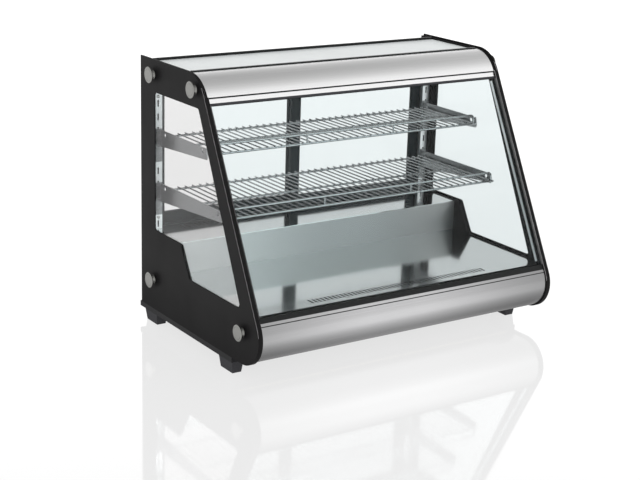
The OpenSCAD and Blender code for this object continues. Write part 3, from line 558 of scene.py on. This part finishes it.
def panel_coat(groups, coat, base):
    """Satin coat with a painted highlight: many times lighter along the marked front edge, varied by the
    coat's patches.
    """
    made = Finish(coat.name, base, 0.0, sum(coat.rough) / 2, Specular_IOR_Level=coat.specular)
    skin = made.effect(groups["grain"], Grain=coat.grain, Broad=COAT_PATCHES)
    made.gloss(skin.outputs["Patches"], *coat.rough)
    made.bumps(skin.outputs["Height"], GRAIN_BUMP, coat.depth)
    # Painted highlight: the edge mark times the coat's patches lifts the base colour many times along the
    # front chamfers
    edge = made.tree.nodes.new("ShaderNodeAttribute")
    edge.attribute_name = PAINTED_HIGHLIGHT_ATTRIBUTE
    painted_highlight = arithmetic(made.tree, "MULTIPLY")
    made.link(edge.outputs["Fac"], painted_highlight.inputs[0])
    made.link(skin.outputs["Patches"], painted_highlight.inputs[1])
    made.tones(painted_highlight.outputs[0], 1.0, PAINTED_HIGHLIGHT_GAIN)
    return made.material


def clear_glass(groups, name, tint):
    """A clear pane that lets light through to what stands behind it."""
    made = Finish(name, tint, 0.0, PANE_ROUGH[0], Transmission_Weight=1.0, IOR=PANE_IOR)
    smears = made.effect(groups["grain"], Broad=PANE_SMEARS)
    made.gloss(smears.outputs["Patches"], *PANE_ROUGH)
    path = made.tree.nodes.new("ShaderNodeLightPath")
    through = made.tree.nodes.new("ShaderNodeBsdfTransparent")
    through.inputs["Color"].default_value = (*tint, 1.0)
    made.swap_surface(path.outputs["Is Shadow Ray"], through)
    return made.material


def zinc_coat(groups, base):
    """Galvanised sheet with flakes of different brightness."""
    made = Finish("Zinc coat", base, ZINC_METAL, sum(ZINC_ROUGH) / 2)
    flakes = made.effect(groups["spangle"], Flakes=ZINC_FLAKES)
    made.tones(flakes.outputs["Flake"], *ZINC_TONES)
    made.gloss(flakes.outputs["Flake"], *ZINC_ROUGH)
    return made.material


def opal_lamp(groups):
    """A lit opal diffuser."""
    made = Finish("Opal lamp", LAMP_BASE, 0.0, sum(LAMP_ROUGH) / 2, Emission_Strength=LAMP_GLOW)
    made.set("Emission Color", LAMP_LIGHT)
    skin = made.effect(groups["grain"], Broad=LAMP_PATCHES)
    made.gloss(skin.outputs["Patches"], *LAMP_ROUGH)
    return made.material


def make_finishes(colours):
    """Builds every finish once."""
    groups = {
        "lines": drawn_lines(), "grain": fine_grain(), "sheen": painted_light_band(), "spangle": zinc_spangle()
    }
    tables = ((coated, COATS), (brushed, BRUSHINGS), (panel_coat, {"black_panel": PANEL_COAT}))
    for build, table in tables:
        for key, values in table.items():
            base = values.base
            if isinstance(base, str):
                base = getattr(colours, base)
            FINISHES[key] = build(groups, values, base)
    FINISHES["clear_glass"] = clear_glass(groups, "Clear pane", colours.panes)
    FINISHES["front_pane"] = clear_glass(groups, "Front pane", colours.front)
    FINISHES["zinc_bracket"] = zinc_coat(groups, colours.zinc)
    FINISHES["lamp_opal"] = opal_lamp(groups)


class CASE_OT_finishes(bpy.types.Operator):
    """Gives every solid of the case its finish"""

    bl_idname = "case.finishes"
    bl_label = "Finishes"

    def execute(self, context):
        make_finishes(context.scene.case_colours)
        for node, thing in frame["nodes"].items():
            thing.data.materials.clear()
            thing.data.materials.append(FINISHES[OWN_FINISH.get(node, slot_of(node))])
        return {"FINISHED"}


# Side panels, caps and feet

# The chamfers that get the painted highlight: a chamfer's normal points sideways by a share between these
# two
CHAMFER_LEAST, CHAMFER_MOST = 0.2, 0.95
# It lies within this many widths of the front, and this far above the panel's foot
CHAMFER_WIDTHS = 1.5
CHAMFER_ABOVE = 60 * MM

# Outline of a turned cap, from its face to the end of its neck, as radius and height in millimetres
CAP_OUTLINE = (
    (0.0, 0.0), (14.2, 0.0), (14.7, -0.35), (15.2, 0.0), (18.8, -0.1), (19.6, -0.5), (20.0, -1.1),
    (20.0, -2.1), (19.5, -2.7), (10.0, -3.0), (9.5, -3.4), (12.2, -12.2), (12.5, -12.6),
    (12.5, -13.0), (0.0, -13.0),
)
CAP_STEPS = 48
CAPS_ON_A_SIDE = 4
# Points of one cap's face lie within this reach of each other, and this near to the outermost point
CAP_REACH = 45 * MM
CAP_FACE = 1 * MM


class CASE_OT_side_panels(bpy.types.Operator):
    """Side panels with chamfered edges, and a painted highlight along the leaning front ones"""

    bl_idname = "case.side_panels"
    bl_label = "Side panels"

    def execute(self, context):
        width = context.scene.case_sizes.panel_edge
        for side in SIDES:
            node = side + "_side_panel"
            shape = solid_copy(node)
            round_edges(shape, width, segments=1)
            mark_front_edge(shape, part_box(node)[0][2], width)
            piece = link_piece(node + "_soft", shape, slot_of(node), sharp=20)
            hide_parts(node)
        return {"FINISHED"}


def mark_front_edge(shape, foot, width):
    """Marks the chamfers along the panel's leaning front, which get a painted highlight in the coat."""
    painted_highlight_layer = shape.faces.layers.float.new(PAINTED_HIGHLIGHT_ATTRIBUTE)
    for face in shape.faces:
        centre = face.calc_center_median()
        slant = CHAMFER_LEAST < abs(face.normal.x) < CHAMFER_MOST
        near = (centre - FRONT_TOP).dot(FRONT_IN) < width * CHAMFER_WIDTHS
        if slant and near and centre.z > foot + CHAMFER_ABOVE:
            face[painted_highlight_layer] = PAINTED_HIGHLIGHT_MARK


class CASE_OT_caps(bpy.types.Operator):
    """Turned caps on their necks"""

    bl_idname = "case.caps"
    bl_label = "Caps"

    def execute(self, context):
        for side, sign in zip(SIDES, (-1, 1)):
            node = side + "_panel_caps"
            low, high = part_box(node)
            tip = max(abs(low[0]), abs(high[0]))
            shape = bmesh.new()
            for y, z in cap_centres(node, sign, tip):
                turned(shape, CAP_OUTLINE, Vector((sign * tip, y, z)), X_AXIS * sign, Y_AXIS, CAP_STEPS)
            clean(shape)
            piece = link_piece(side + "_caps_turned", shape, "cap_silver", sharp=25)
            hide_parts(node)
        return {"FINISHED"}


def cap_centres(node, sign, tip):
    """Depth and height of each cap, read from the outer faces of its node."""
    caps = []
    for v in frame["nodes"][node].data.vertices:
        if v.co.x * sign < tip - CAP_FACE:
            continue
        for cap in caps:
            if (cap[0] - v.co.yz).length < CAP_REACH:
                cap.append(v.co.yz)
                break
        else:
            caps.append([v.co.yz])
    if len(caps) != CAPS_ON_A_SIDE:
        raise RuntimeError("expected four caps on " + node)
    return [[(min(values) + max(values)) / 2 for values in zip(*cap)] for cap in caps]


class CASE_OT_feet(bpy.types.Operator):
    """Moulded feet with rounded edges"""

    bl_idname = "case.feet"
    bl_label = "Feet"

    def execute(self, context):
        for end in ("front", "rear"):
            for side in SIDES:
                softened(f"foot_{end}_{side}", context.scene.case_sizes.foot_edge, segments=3)
        return {"FINISHED"}


# Strips along the glass, and painted shade in the grooves and the air slots

# Stations down the leaning front and insets into the case, in millimetres
# The groove strips are dark strips of painted shade in the canopy's and the fascia's grooves
GROOVE_SHADE_STRIPS = {"canopy": ((2.2, 6.0), (4.4, 5.4)), "fascia": ((541.3, 543.3), (4.0, 5.0))}
GLASS_STATIONS = (22.3, 520.7)
BORDER_INSETS = (11.5, 11.75)
BEAD_INSETS = (0.8, 6.4)
LIP_STATIONS = (21.5, 23.2)
LIP_INSETS = (6.25, 6.45)
# How far in from the canopy's ends the borders and the beads begin and end
BORDER_ENDS = (0.4, 8.0)
BEAD_ENDS = (0.05, 0.9)

# Floor and top of the dark plates of painted shade in the slots, below their sheet's face
SLOT_SHADE_FLOOR = 1.0 * MM
SLOT_SHADE_TOP = 0.3 * MM


class SlotRow(NamedTuple):
    """A row of air slots: its distance from the sheet's front edge, its slots' sizes and their pitch."""

    node: str
    back: float
    deep: float
    wide: float
    pitch: float
    each_side: int


SLOT_ROWS = (
    SlotRow("deck", back=18.0 * MM, deep=24.0 * MM, wide=5.0 * MM, pitch=11.2 * MM, each_side=23),
    SlotRow("step_top", back=108.0 * MM, deep=30.0 * MM, wide=6.0 * MM, pitch=13.5 * MM, each_side=26),
)


class CASE_OT_strips(bpy.types.Operator):
    """Black strips along the glass and the top, and dark strips of painted shade in the canopy's and the
    fascia's grooves
    """

    bl_idname = "case.strips"
    bl_label = "Strips"

    def execute(self, context):
        for node in ("front_glass_sill", "top_trim"):
            softened(node, context.scene.case_sizes.strip_edge)
        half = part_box("canopy")[1][0] / MM
        # Painted shade: dark strips in the grooves stand in for their shade
        lines = bmesh.new()
        for stations, insets in GROOVE_SHADE_STRIPS.values():
            front_bar(lines, (-half, half), stations, insets)
        link_piece("groove_lines", lines, "strip_black")
        border = bmesh.new()
        beads = bmesh.new()
        for sign in (-1, 1):
            across = sorted(sign * (half - end) for end in BORDER_ENDS)
            front_bar(border, across, GLASS_STATIONS, BORDER_INSETS)
            across = sorted(sign * (half - end) for end in BEAD_ENDS)
            front_bar(beads, across, GLASS_STATIONS, BEAD_INSETS)
        reach = half - BORDER_ENDS[0]
        front_bar(border, (-reach, reach), LIP_STATIONS, LIP_INSETS)
        link_piece("front_glass_border", border, "strip_black")
        link_piece("front_glass_beads", beads, "strip_black", finish="bead_grey")
        return {"FINISHED"}


class CASE_OT_slots(bpy.types.Operator):
    """Dark plates of painted shade in the air slots of the deck and the step"""

    bl_idname = "case.slots"
    bl_label = "Slots"

    def execute(self, context):
        for row in SLOT_ROWS:
            low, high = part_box(row.node)
            near = low[1] + row.back
            shape = bmesh.new()
            for place in range(-row.each_side, row.each_side + 1):
                first = place * row.pitch - row.wide / 2
                block(
                    shape, (first, near, high[2] - SLOT_SHADE_FLOOR),
                    (first + row.wide, near + row.deep, high[2] - SLOT_SHADE_TOP)
                )
            link_piece(row.node + "_slot_screens", shape, "strip_black", finish="slot_shade_black")
        return {"FINISHED"}


# Brackets, doors and screws

# The tracks' edges are this share of the door frames' edges
TRACK_EDGE = 0.6

# How far the screws stand out, and their heights above a pilaster's foot
SCREW_TALL = 2 * MM
PILASTER_SCREWS = (29.5 * MM, 335.5 * MM)
# How far in from the rear panel's ends and from its upper and lower edge its screws are
REAR_SCREW_ENDS = (9 * MM, 297 * MM)
REAR_SCREW_MARGIN = 12 * MM

# A screw head is a grid of this many cells each way, whose two outer rings are drawn into circles
HEAD_CELLS = 5
# Past these shares of the radius the grid's points lie on the rim and on the shoulder
RIM_BEYOND, SHOULDER_BEYOND = 0.9, 0.5
# The rim's height as a share of the head's, and the shoulder's radius and height
RIM_HEIGHT = 0.55
SHOULDER_RADIUS, SHOULDER_HEIGHT = 0.68, 0.9
# The recess as shares of the head's radius and height
RECESS_HALF_WIDTH, RECESS_REACH, RECESS_DEPTH = 0.1, 0.62, 0.5


class CASE_OT_brackets(bpy.types.Operator):
    """Shelf brackets and pilasters with broken sheet edges"""

    bl_idname = "case.brackets"
    bl_label = "Brackets"

    def execute(self, context):
        edge = context.scene.case_sizes.plate_edge
        for level in ("upper", "lower"):
            for side in SIDES:
                softened(f"{level}_{side}_bracket", edge, segments=1)
        for side in SIDES:
            softened(side + "_pilaster", edge, segments=1)
        return {"FINISHED"}


class CASE_OT_doors(bpy.types.Operator):
    """Door frames and tracks with rounded edges"""

    bl_idname = "case.doors"
    bl_label = "Doors"

    def execute(self, context):
        edge = context.scene.case_sizes.frame_edge
        for side in SIDES:
            softened(side + "_door_frame", edge, side + "_door")
        for node in ("door_header", "door_sill"):
            softened(node, edge * TRACK_EDGE)
        return {"FINISHED"}


class CASE_OT_screws(bpy.types.Operator):
    """Cross-head screws of the pilasters and the rear panel"""

    bl_idname = "case.screws"
    bl_label = "Screws"

    def execute(self, context):
        radius = context.scene.case_sizes.screw_head
        shape = bmesh.new()
        for side in SIDES:
            low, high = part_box(side + "_pilaster")
            middle = (low[0] + high[0]) / 2
            for above in PILASTER_SCREWS:
                cross_head(shape, facing(Vector((middle, low[1], low[2] + above)), -Y_AXIS), radius)
        low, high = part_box("rear_panel")
        for end in REAR_SCREW_ENDS:
            for sign in (-1, 1):
                for z in (low[2] + REAR_SCREW_MARGIN, high[2] - REAR_SCREW_MARGIN):
                    cross_head(shape, facing(Vector((sign * (high[0] - end), high[1], z)), Y_AXIS), radius)
        clean(shape)
        piece = link_piece("cross_head_screws", shape, "steel_bright", sharp=25)
        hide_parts("panel_screws")
        return {"FINISHED"}


def cross_head(shape, place, radius):
    """A pan-head screw with a cross recess, made on XY and moved to its place."""
    grid = bmesh.ops.create_grid(shape, x_segments=HEAD_CELLS, y_segments=HEAD_CELLS, size=radius)["verts"]
    for v in grid:
        reach = max(abs(v.co.x), abs(v.co.y)) / radius
        if reach > RIM_BEYOND:
            v.co = v.co.normalized() * radius
            v.co.z = SCREW_TALL * RIM_HEIGHT
        elif reach > SHOULDER_BEYOND:
            v.co = v.co.normalized() * radius * SHOULDER_RADIUS
            v.co.z = SCREW_TALL * SHOULDER_HEIGHT
        else:
            v.co.z = SCREW_TALL
    faces = list({f for v in grid for f in v.link_faces})
    rim = [e for e in {e for f in faces for e in f.edges} if len(e.link_faces) == 1]
    skirt = bmesh.ops.extrude_edge_only(shape, edges=rim)["geom"]
    seat = [g for g in skirt if isinstance(g, bmesh.types.BMVert)]
    for v in seat:
        v.co.z = 0.0
    recess = [f for f in faces if in_recess(f.calc_center_median().xy / radius)]
    sunk = bmesh.ops.extrude_face_region(shape, geom=recess)["geom"]
    bottom = [g for g in sunk if isinstance(g, bmesh.types.BMVert)]
    bmesh.ops.delete(shape, geom=recess, context="FACES_ONLY")
    bmesh.ops.translate(shape, vec=(0, 0, -SCREW_TALL * RECESS_DEPTH), verts=bottom)
    made = list({*grid, *seat, *bottom})
    bmesh.ops.transform(shape, matrix=place, verts=[v for v in made if v.is_valid])


def in_recess(point):
    """Whether a point of a screw head, in shares of its radius, lies in the cross."""
    return min(abs(point.x), abs(point.y)) < RECESS_HALF_WIDTH and point.length < RECESS_REACH


# Rear panel: louvres and controls

# Where the columns of louvres begin along X, and their rows above the panel's foot
LOUVRE_COLUMNS = (158 * MM, 266 * MM, -120 * MM, -12 * MM)
LOUVRE_ROWS = 10
LOUVRE_FIRST = 32 * MM
LOUVRE_PITCH = 14 * MM
# A hood's size, its sheet, and its arc: its steps, and how much of its height it takes up
HOOD_WIDE = 96 * MM
HOOD_TALL = 8 * MM
HOOD_SHEET = 0.7 * MM
HOOD_STEPS = 6
HOOD_DROP = 0.9

# Rounds on the control plate and the gland, and on the knob and the switch, which are bodies of their own
PLATE_ROUND = 0.5 * MM
GLAND_ROUND = 0.6 * MM
KNOB_ROUND = 0.7 * MM
SWITCH_ROUND = 0.4 * MM
# The dial: its face from the control plate's inner end, and its marks' count, angles, radii and thickness
DIAL_FACE = 14 * MM
DIAL_MARKS = 7
DIAL_START = -135
DIAL_STEP = 45
MARK_HALF = 0.5 * MM
MARK_INNER = 20.5 * MM
MARK_OUTER = 23.5 * MM
MARK_EXTRA = 1 * MM
MARK_UNDER = 0.05 * MM
MARK_OVER = 0.15 * MM
# The line on the knob: half its width, its ends from the knob's centre and rim, and its thickness
LINE_HALF = 0.6 * MM
LINE_FROM_CENTRE = 3 * MM
LINE_FROM_RIM = 5 * MM
LINE_UNDER = 0.3 * MM
LINE_OVER = 0.1 * MM


class CASE_OT_louvres(bpy.types.Operator):
    """Pressed hoods over the rear panel's slots"""

    bl_idname = "case.louvres"
    bl_label = "Louvres"

    def execute(self, context):
        depth = context.scene.case_sizes.louvre_depth
        low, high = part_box("rear_panel")
        shape = bmesh.new()
        for x in LOUVRE_COLUMNS:
            for row in range(LOUVRE_ROWS):
                foot = low[2] + LOUVRE_FIRST + LOUVRE_PITCH * row
                hood(shape, Vector((x, high[1], foot + HOOD_TALL)), depth)
        clean(shape)
        bmesh.ops.solidify(shape, geom=shape.faces[:], thickness=HOOD_SHEET)
        link_piece("rear_louvres", shape, "rear_grey", sharp=40)
        return {"FINISHED"}


def hood(shape, top, depth):
    """One hood below a point: a quarter round swept across its slot and closed at both ends."""
    arc = []
    for step in range(HOOD_STEPS + 1):
        angle = math.pi / 2 * step / HOOD_STEPS
        drop = HOOD_TALL * (1 - math.cos(angle)) * HOOD_DROP
        arc.append(shape.verts.new(top + Vector((0, depth * math.sin(angle), -drop))))
    edges = [shape.edges.new(pair) for pair in zip(arc, arc[1:])]
    swept = bmesh.ops.extrude_edge_only(shape, edges=edges)["geom"]
    far = [g for g in swept if isinstance(g, bmesh.types.BMVert)]
    bmesh.ops.translate(shape, vec=(HOOD_WIDE, 0, 0), verts=far)
    for row in (arc[::-1], sorted(far, key=lambda v: -v.co.z)):
        lowest = min(v.co.z for v in row)
        corner = shape.verts.new((row[0].co.x, top.y, lowest))
        shape.faces.new([corner] + row)


class CASE_OT_controls(bpy.types.Operator):
    """Control plate, knob, rocker, dial marks and cord gland"""

    bl_idname = "case.controls"
    bl_label = "Controls"

    def execute(self, context):
        softened("control_plate", PLATE_ROUND)
        softened("thermostat_knob", KNOB_ROUND, "thermostat_knob", segments=3)
        softened("light_switch", SWITCH_ROUND, "light_switch")
        softened("cord_gland", GLAND_ROUND)
        low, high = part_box("thermostat_knob")
        centre = (Vector(low) + Vector(high)) / 2
        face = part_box("control_plate")[0][1] + DIAL_FACE
        marks = bmesh.new()
        for mark in range(DIAL_MARKS):
            dial_mark(marks, Vector((centre.x, face, centre.z)), mark)
        link_piece("dial_marks", marks, "glide_white")
        line = bmesh.new()
        block(
            line, (centre.x - LINE_HALF, high[1] - LINE_UNDER, centre.z + LINE_FROM_CENTRE),
            (centre.x + LINE_HALF, high[1] + LINE_OVER, high[2] - LINE_FROM_RIM)
        )
        link_piece("knob_line", line, "glide_white", "thermostat_knob")
        return {"FINISHED"}


def dial_mark(shape, centre, mark):
    """One mark of the dial, every other one longer."""
    outer = MARK_OUTER + MARK_EXTRA * (mark % 2 == 0)
    made = block(shape, (-MARK_HALF, -MARK_UNDER, MARK_INNER), (MARK_HALF, MARK_OVER, outer))
    turn = Matrix.Rotation(math.radians(DIAL_START + DIAL_STEP * mark), 4, "Y")
    bmesh.ops.transform(shape, matrix=Matrix.Translation(centre) @ turn, verts=made)


# Machine in the base

# Place of the compressor's shell along X and of its seam in height
SHELL_X = -40 * MM
SEAM_HEIGHT = 118 * MM
SEAM_STEPS = 64
# One side of the seam's outline and its crest, as radius and height in millimetres
SEAM_SIDE = ((61.5, 4.0), (63.2, 3.2), (64.4, 1.6))
SEAM_CREST = (64.8, 0.0)
# The terminal cover along X, behind the shell's centre and in height
COVER_X = (-66 * MM, -22 * MM)
COVER_BEHIND = (52 * MM, 64 * MM)
COVER_HEIGHT = (124 * MM, 168 * MM)
COVER_ROUND = 2 * MM


class CASE_OT_machine(bpy.types.Operator):
    """Weld seam and terminal cover of the compressor"""

    bl_idname = "case.machine"
    bl_label = "Machine"

    def execute(self, context):
        low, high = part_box("compressor")
        middle = (low[1] + high[1]) / 2
        below = [(r, -h) for r, h in SEAM_SIDE]
        outline = [*below, SEAM_CREST, *reversed(SEAM_SIDE), below[0]]
        shape = bmesh.new()
        turned(shape, outline, Vector((SHELL_X, middle, SEAM_HEIGHT)), Z_AXIS, X_AXIS, SEAM_STEPS)
        clean(shape)
        link_piece("compressor_seam", shape, "compressor_black", sharp=40)
        cover = bmesh.new()
        near, far = zip(COVER_X, [middle + behind for behind in COVER_BEHIND], COVER_HEIGHT)
        block(cover, near, far, COVER_ROUND)
        link_piece("terminal_cover", cover, "fan_black")
        return {"FINISHED"}


# Stage

FLOOR_SIZE = 30.0
FLOOR_GLOW = 0.74
FLOOR_ROUGHNESS = 0.05
FLOOR_SPECULAR = 0.9
FLOOR_IOR = 1.7
# Painted shade and light in what metal mirrors: the floor is dim up to these places beside and before the
# case, and bright past a reach
DIM_BESIDE = 0.45
DIM_BEFORE = 0.27
DIM_REACH = 0.2
DIM_TO_BRIGHT = (0.42, 1.3)

# Brightness of the wall in front, of the wall behind from low to high, and of the ceiling from low to high
WALL_FRONT = 1.1
WALL_BEHIND = (1.05, 0.6)
CEILING = (1.0, 0.55)
# Where a direction's Y goes from front to back, and where its Z meets the walls' and the ceiling's fade
FRONT_TO_BACK = (-0.75, 0.75)
BEHIND_FADE = (0.3, 0.6)
CEILING_FADE = (0.55, 0.9)

# The camera, as solved from the photograph: place in metres, turns in degrees and focal length in pixels
CAMERA_PLACE = (-2.05457, -2.90936, 1.28799)
CAMERA_YAW = 34.1393
CAMERA_PITCH = 16.7123
CAMERA_ROLL = 1.8105
CAMERA_FOCAL = 1463.81
PICTURE_WIDTH = 640
SENSOR_WIDTH = 36.0
VIEW_LIMIT = 100


class Softbox(NamedTuple):
    """An area light: its place, the height on the case that it aims at, its size and its power."""

    name: str
    place: tuple
    aim: float
    size: float
    power: float


SOFTBOXES = (
    Softbox("softbox_front", (1.6, -3.6, 2.2), 0.35, 2.4, 26.0),
    Softbox("softbox_left", (-3.6, -0.8, 2.4), 0.35, 2.0, 16.0),
    Softbox("softbox_top", (0.0, 0.4, 3.6), 0.3, 2.2, 20.0),
)


class CASE_OT_stage(bpy.types.Operator):
    """Studio floor, light and camera"""

    bl_idname = "case.stage"
    bl_label = "Stage"

    def execute(self, context):
        scene = context.scene
        shape = bmesh.new()
        bmesh.ops.create_grid(shape, x_segments=1, y_segments=1, size=FLOOR_SIZE)
        mesh = bpy.data.meshes.new("studio_floor")
        shape.to_mesh(mesh)
        shape.free()
        mesh.materials.append(studio_floor(scene.case_colours.floor))
        floor = bpy.data.objects.new("studio_floor", mesh)
        scene.collection.objects.link(floor)
        for softbox in SOFTBOXES:
            studio_light(scene, softbox)
        studio_world(scene)
        photo_camera(scene)
        scene.view_settings.view_transform = "Standard"
        return {"FINISHED"}


def studio_light(scene, softbox):
    """A soft light that polished metal doesn't mirror."""
    lamp = bpy.data.lights.new(softbox.name, "AREA")
    lamp.size = softbox.size
    lamp.energy = softbox.power
    box = bpy.data.objects.new(softbox.name, lamp)
    box.location = softbox.place
    look = Vector((0, 0, softbox.aim)) - Vector(softbox.place)
    box.rotation_euler = look.to_track_quat("-Z", "Y").to_euler()
    box.visible_glossy = False
    scene.collection.objects.link(box)


def studio_floor(base):
    """A pale glossy floor, which metal reflects as darker close to the case: painted shade, with painted
    light past a reach.
    """
    made = Finish(
        "Studio floor", base, 0.0, FLOOR_ROUGHNESS,
        Specular_IOR_Level=FLOOR_SPECULAR, IOR=FLOOR_IOR, Emission_Strength=FLOOR_GLOW
    )
    made.set("Emission Color", (1.0, 1.0, 1.0, 1.0))
    tree = made.tree
    # Painted shade and light: glossy rays see a glow that is low near the case and high past a reach
    path = tree.nodes.new("ShaderNodeLightPath")
    place = tree.nodes.new("ShaderNodeTexCoord")
    split = tree.nodes.new("ShaderNodeSeparateXYZ")
    across = arithmetic(tree, "ABSOLUTE")
    beside = arithmetic(tree, "SUBTRACT", DIM_BESIDE)
    before = arithmetic(tree, "MULTIPLY_ADD", -1.0, -DIM_BEFORE)
    away = arithmetic(tree, "MAXIMUM")
    mirrored = arithmetic(tree, "SUBTRACT")
    mirrored.use_clamp = True
    shade = spread(tree, (0.0, DIM_REACH), DIM_TO_BRIGHT)
    dim = tree.nodes.new("ShaderNodeEmission")
    made.link(place.outputs["Object"], split.inputs[0])
    made.link(split.outputs["X"], across.inputs[0])
    made.link(across.outputs[0], beside.inputs[0])
    made.link(split.outputs["Y"], before.inputs[0])
    made.link(beside.outputs[0], away.inputs[0])
    made.link(before.outputs[0], away.inputs[1])
    made.link(away.outputs[0], shade.inputs["Value"])
    made.link(shade.outputs["Result"], dim.inputs["Strength"])
    made.link(path.outputs["Is Glossy Ray"], mirrored.inputs[0])
    made.link(path.outputs["Is Transmission Ray"], mirrored.inputs[1])
    made.swap_surface(mirrored.outputs[0], dim)
    return made.material


def studio_world(scene):
    """A bright wall in front, a wall behind that dims with height, and a dim ceiling."""
    world = bpy.data.worlds.new("Studio")
    world.use_nodes = True
    scene.world = world
    tree = world.node_tree
    place = tree.nodes.new("ShaderNodeTexCoord")
    split = tree.nodes.new("ShaderNodeSeparateXYZ")
    behind = spread(tree, BEHIND_FADE, WALL_BEHIND, smooth=True)
    # The value behind gives way to the wall's own fade, which is linked to it below
    walls = spread(tree, FRONT_TO_BACK, (WALL_FRONT, WALL_BEHIND[1]), smooth=True)
    ceiling = spread(tree, CEILING_FADE, CEILING, smooth=True)
    product = arithmetic(tree, "MULTIPLY")
    tree.links.new(place.outputs["Generated"], split.inputs[0])
    tree.links.new(split.outputs["Y"], walls.inputs["Value"])
    tree.links.new(split.outputs["Z"], behind.inputs["Value"])
    tree.links.new(split.outputs["Z"], ceiling.inputs["Value"])
    tree.links.new(behind.outputs["Result"], walls.inputs["To Max"])
    tree.links.new(walls.outputs["Result"], product.inputs[0])
    tree.links.new(ceiling.outputs["Result"], product.inputs[1])
    tree.links.new(product.outputs[0], tree.nodes["Background"].inputs["Color"])


def photo_camera(scene):
    """The viewpoint in front, to the left and above."""
    yaw, pitch, roll = (math.radians(turn) for turn in (CAMERA_YAW, CAMERA_PITCH, CAMERA_ROLL))
    look = Vector((math.sin(yaw) * math.cos(pitch), math.cos(yaw) * math.cos(pitch), -math.sin(pitch)))
    right = Vector((math.cos(yaw), -math.sin(yaw), 0))
    up = right.cross(look)
    across = right * math.cos(roll) + up * math.sin(roll)
    upward = up * math.cos(roll) - right * math.sin(roll)
    lens = bpy.data.cameras.new("photo_view")
    lens.sensor_fit = "HORIZONTAL"
    lens.sensor_width = SENSOR_WIDTH
    lens.lens = SENSOR_WIDTH * CAMERA_FOCAL / PICTURE_WIDTH
    lens.clip_end = VIEW_LIMIT
    camera = bpy.data.objects.new("photo_view", lens)
    turn = Matrix((across, upward, -look)).transposed().to_4x4()
    camera.matrix_world = Matrix.Translation(CAMERA_PLACE) @ turn
    scene.collection.objects.link(camera)
    scene.camera = camera


# Add-on

PIECES = (
    CASE_OT_finishes, CASE_OT_side_panels, CASE_OT_caps, CASE_OT_feet, CASE_OT_strips, CASE_OT_slots,
    CASE_OT_brackets, CASE_OT_doors, CASE_OT_screws, CASE_OT_louvres, CASE_OT_controls,
    CASE_OT_machine, CASE_OT_stage,
)


class CASE_PT_panel(bpy.types.Panel):
    """Lists the pieces of the display case"""

    bl_idname = "CASE_PT_panel"
    bl_label = "Display Case"
    bl_space_type = "VIEW_3D"
    bl_region_type = "UI"
    bl_category = "Display Case"

    def draw(self, context):
        layout = self.layout
        for group in (context.scene.case_colours, context.scene.case_sizes):
            for label in group.__annotations__:
                layout.prop(group, label)
        for piece in PIECES:
            layout.operator(piece.bl_idname)


CLASSES = (CaseColours, CaseSizes, *PIECES, CASE_PT_panel)


def register():
    for cls in CLASSES:
        bpy.utils.register_class(cls)
    bpy.types.Scene.case_colours = bpy.props.PointerProperty(type=CaseColours)
    bpy.types.Scene.case_sizes = bpy.props.PointerProperty(type=CaseSizes)


def unregister():
    del bpy.types.Scene.case_sizes
    del bpy.types.Scene.case_colours
    for cls in reversed(CLASSES):
        bpy.utils.unregister_class(cls)


def main():
    register()
    bpy.ops.case.finishes()
    bpy.ops.case.side_panels()
    bpy.ops.case.caps()
    bpy.ops.case.feet()
    bpy.ops.case.strips()
    bpy.ops.case.slots()
    bpy.ops.case.brackets()
    bpy.ops.case.doors()
    bpy.ops.case.screws()
    bpy.ops.case.louvres()
    bpy.ops.case.controls()
    bpy.ops.case.machine()
    bpy.ops.case.stage()


if __name__ == "__main__":
    main()
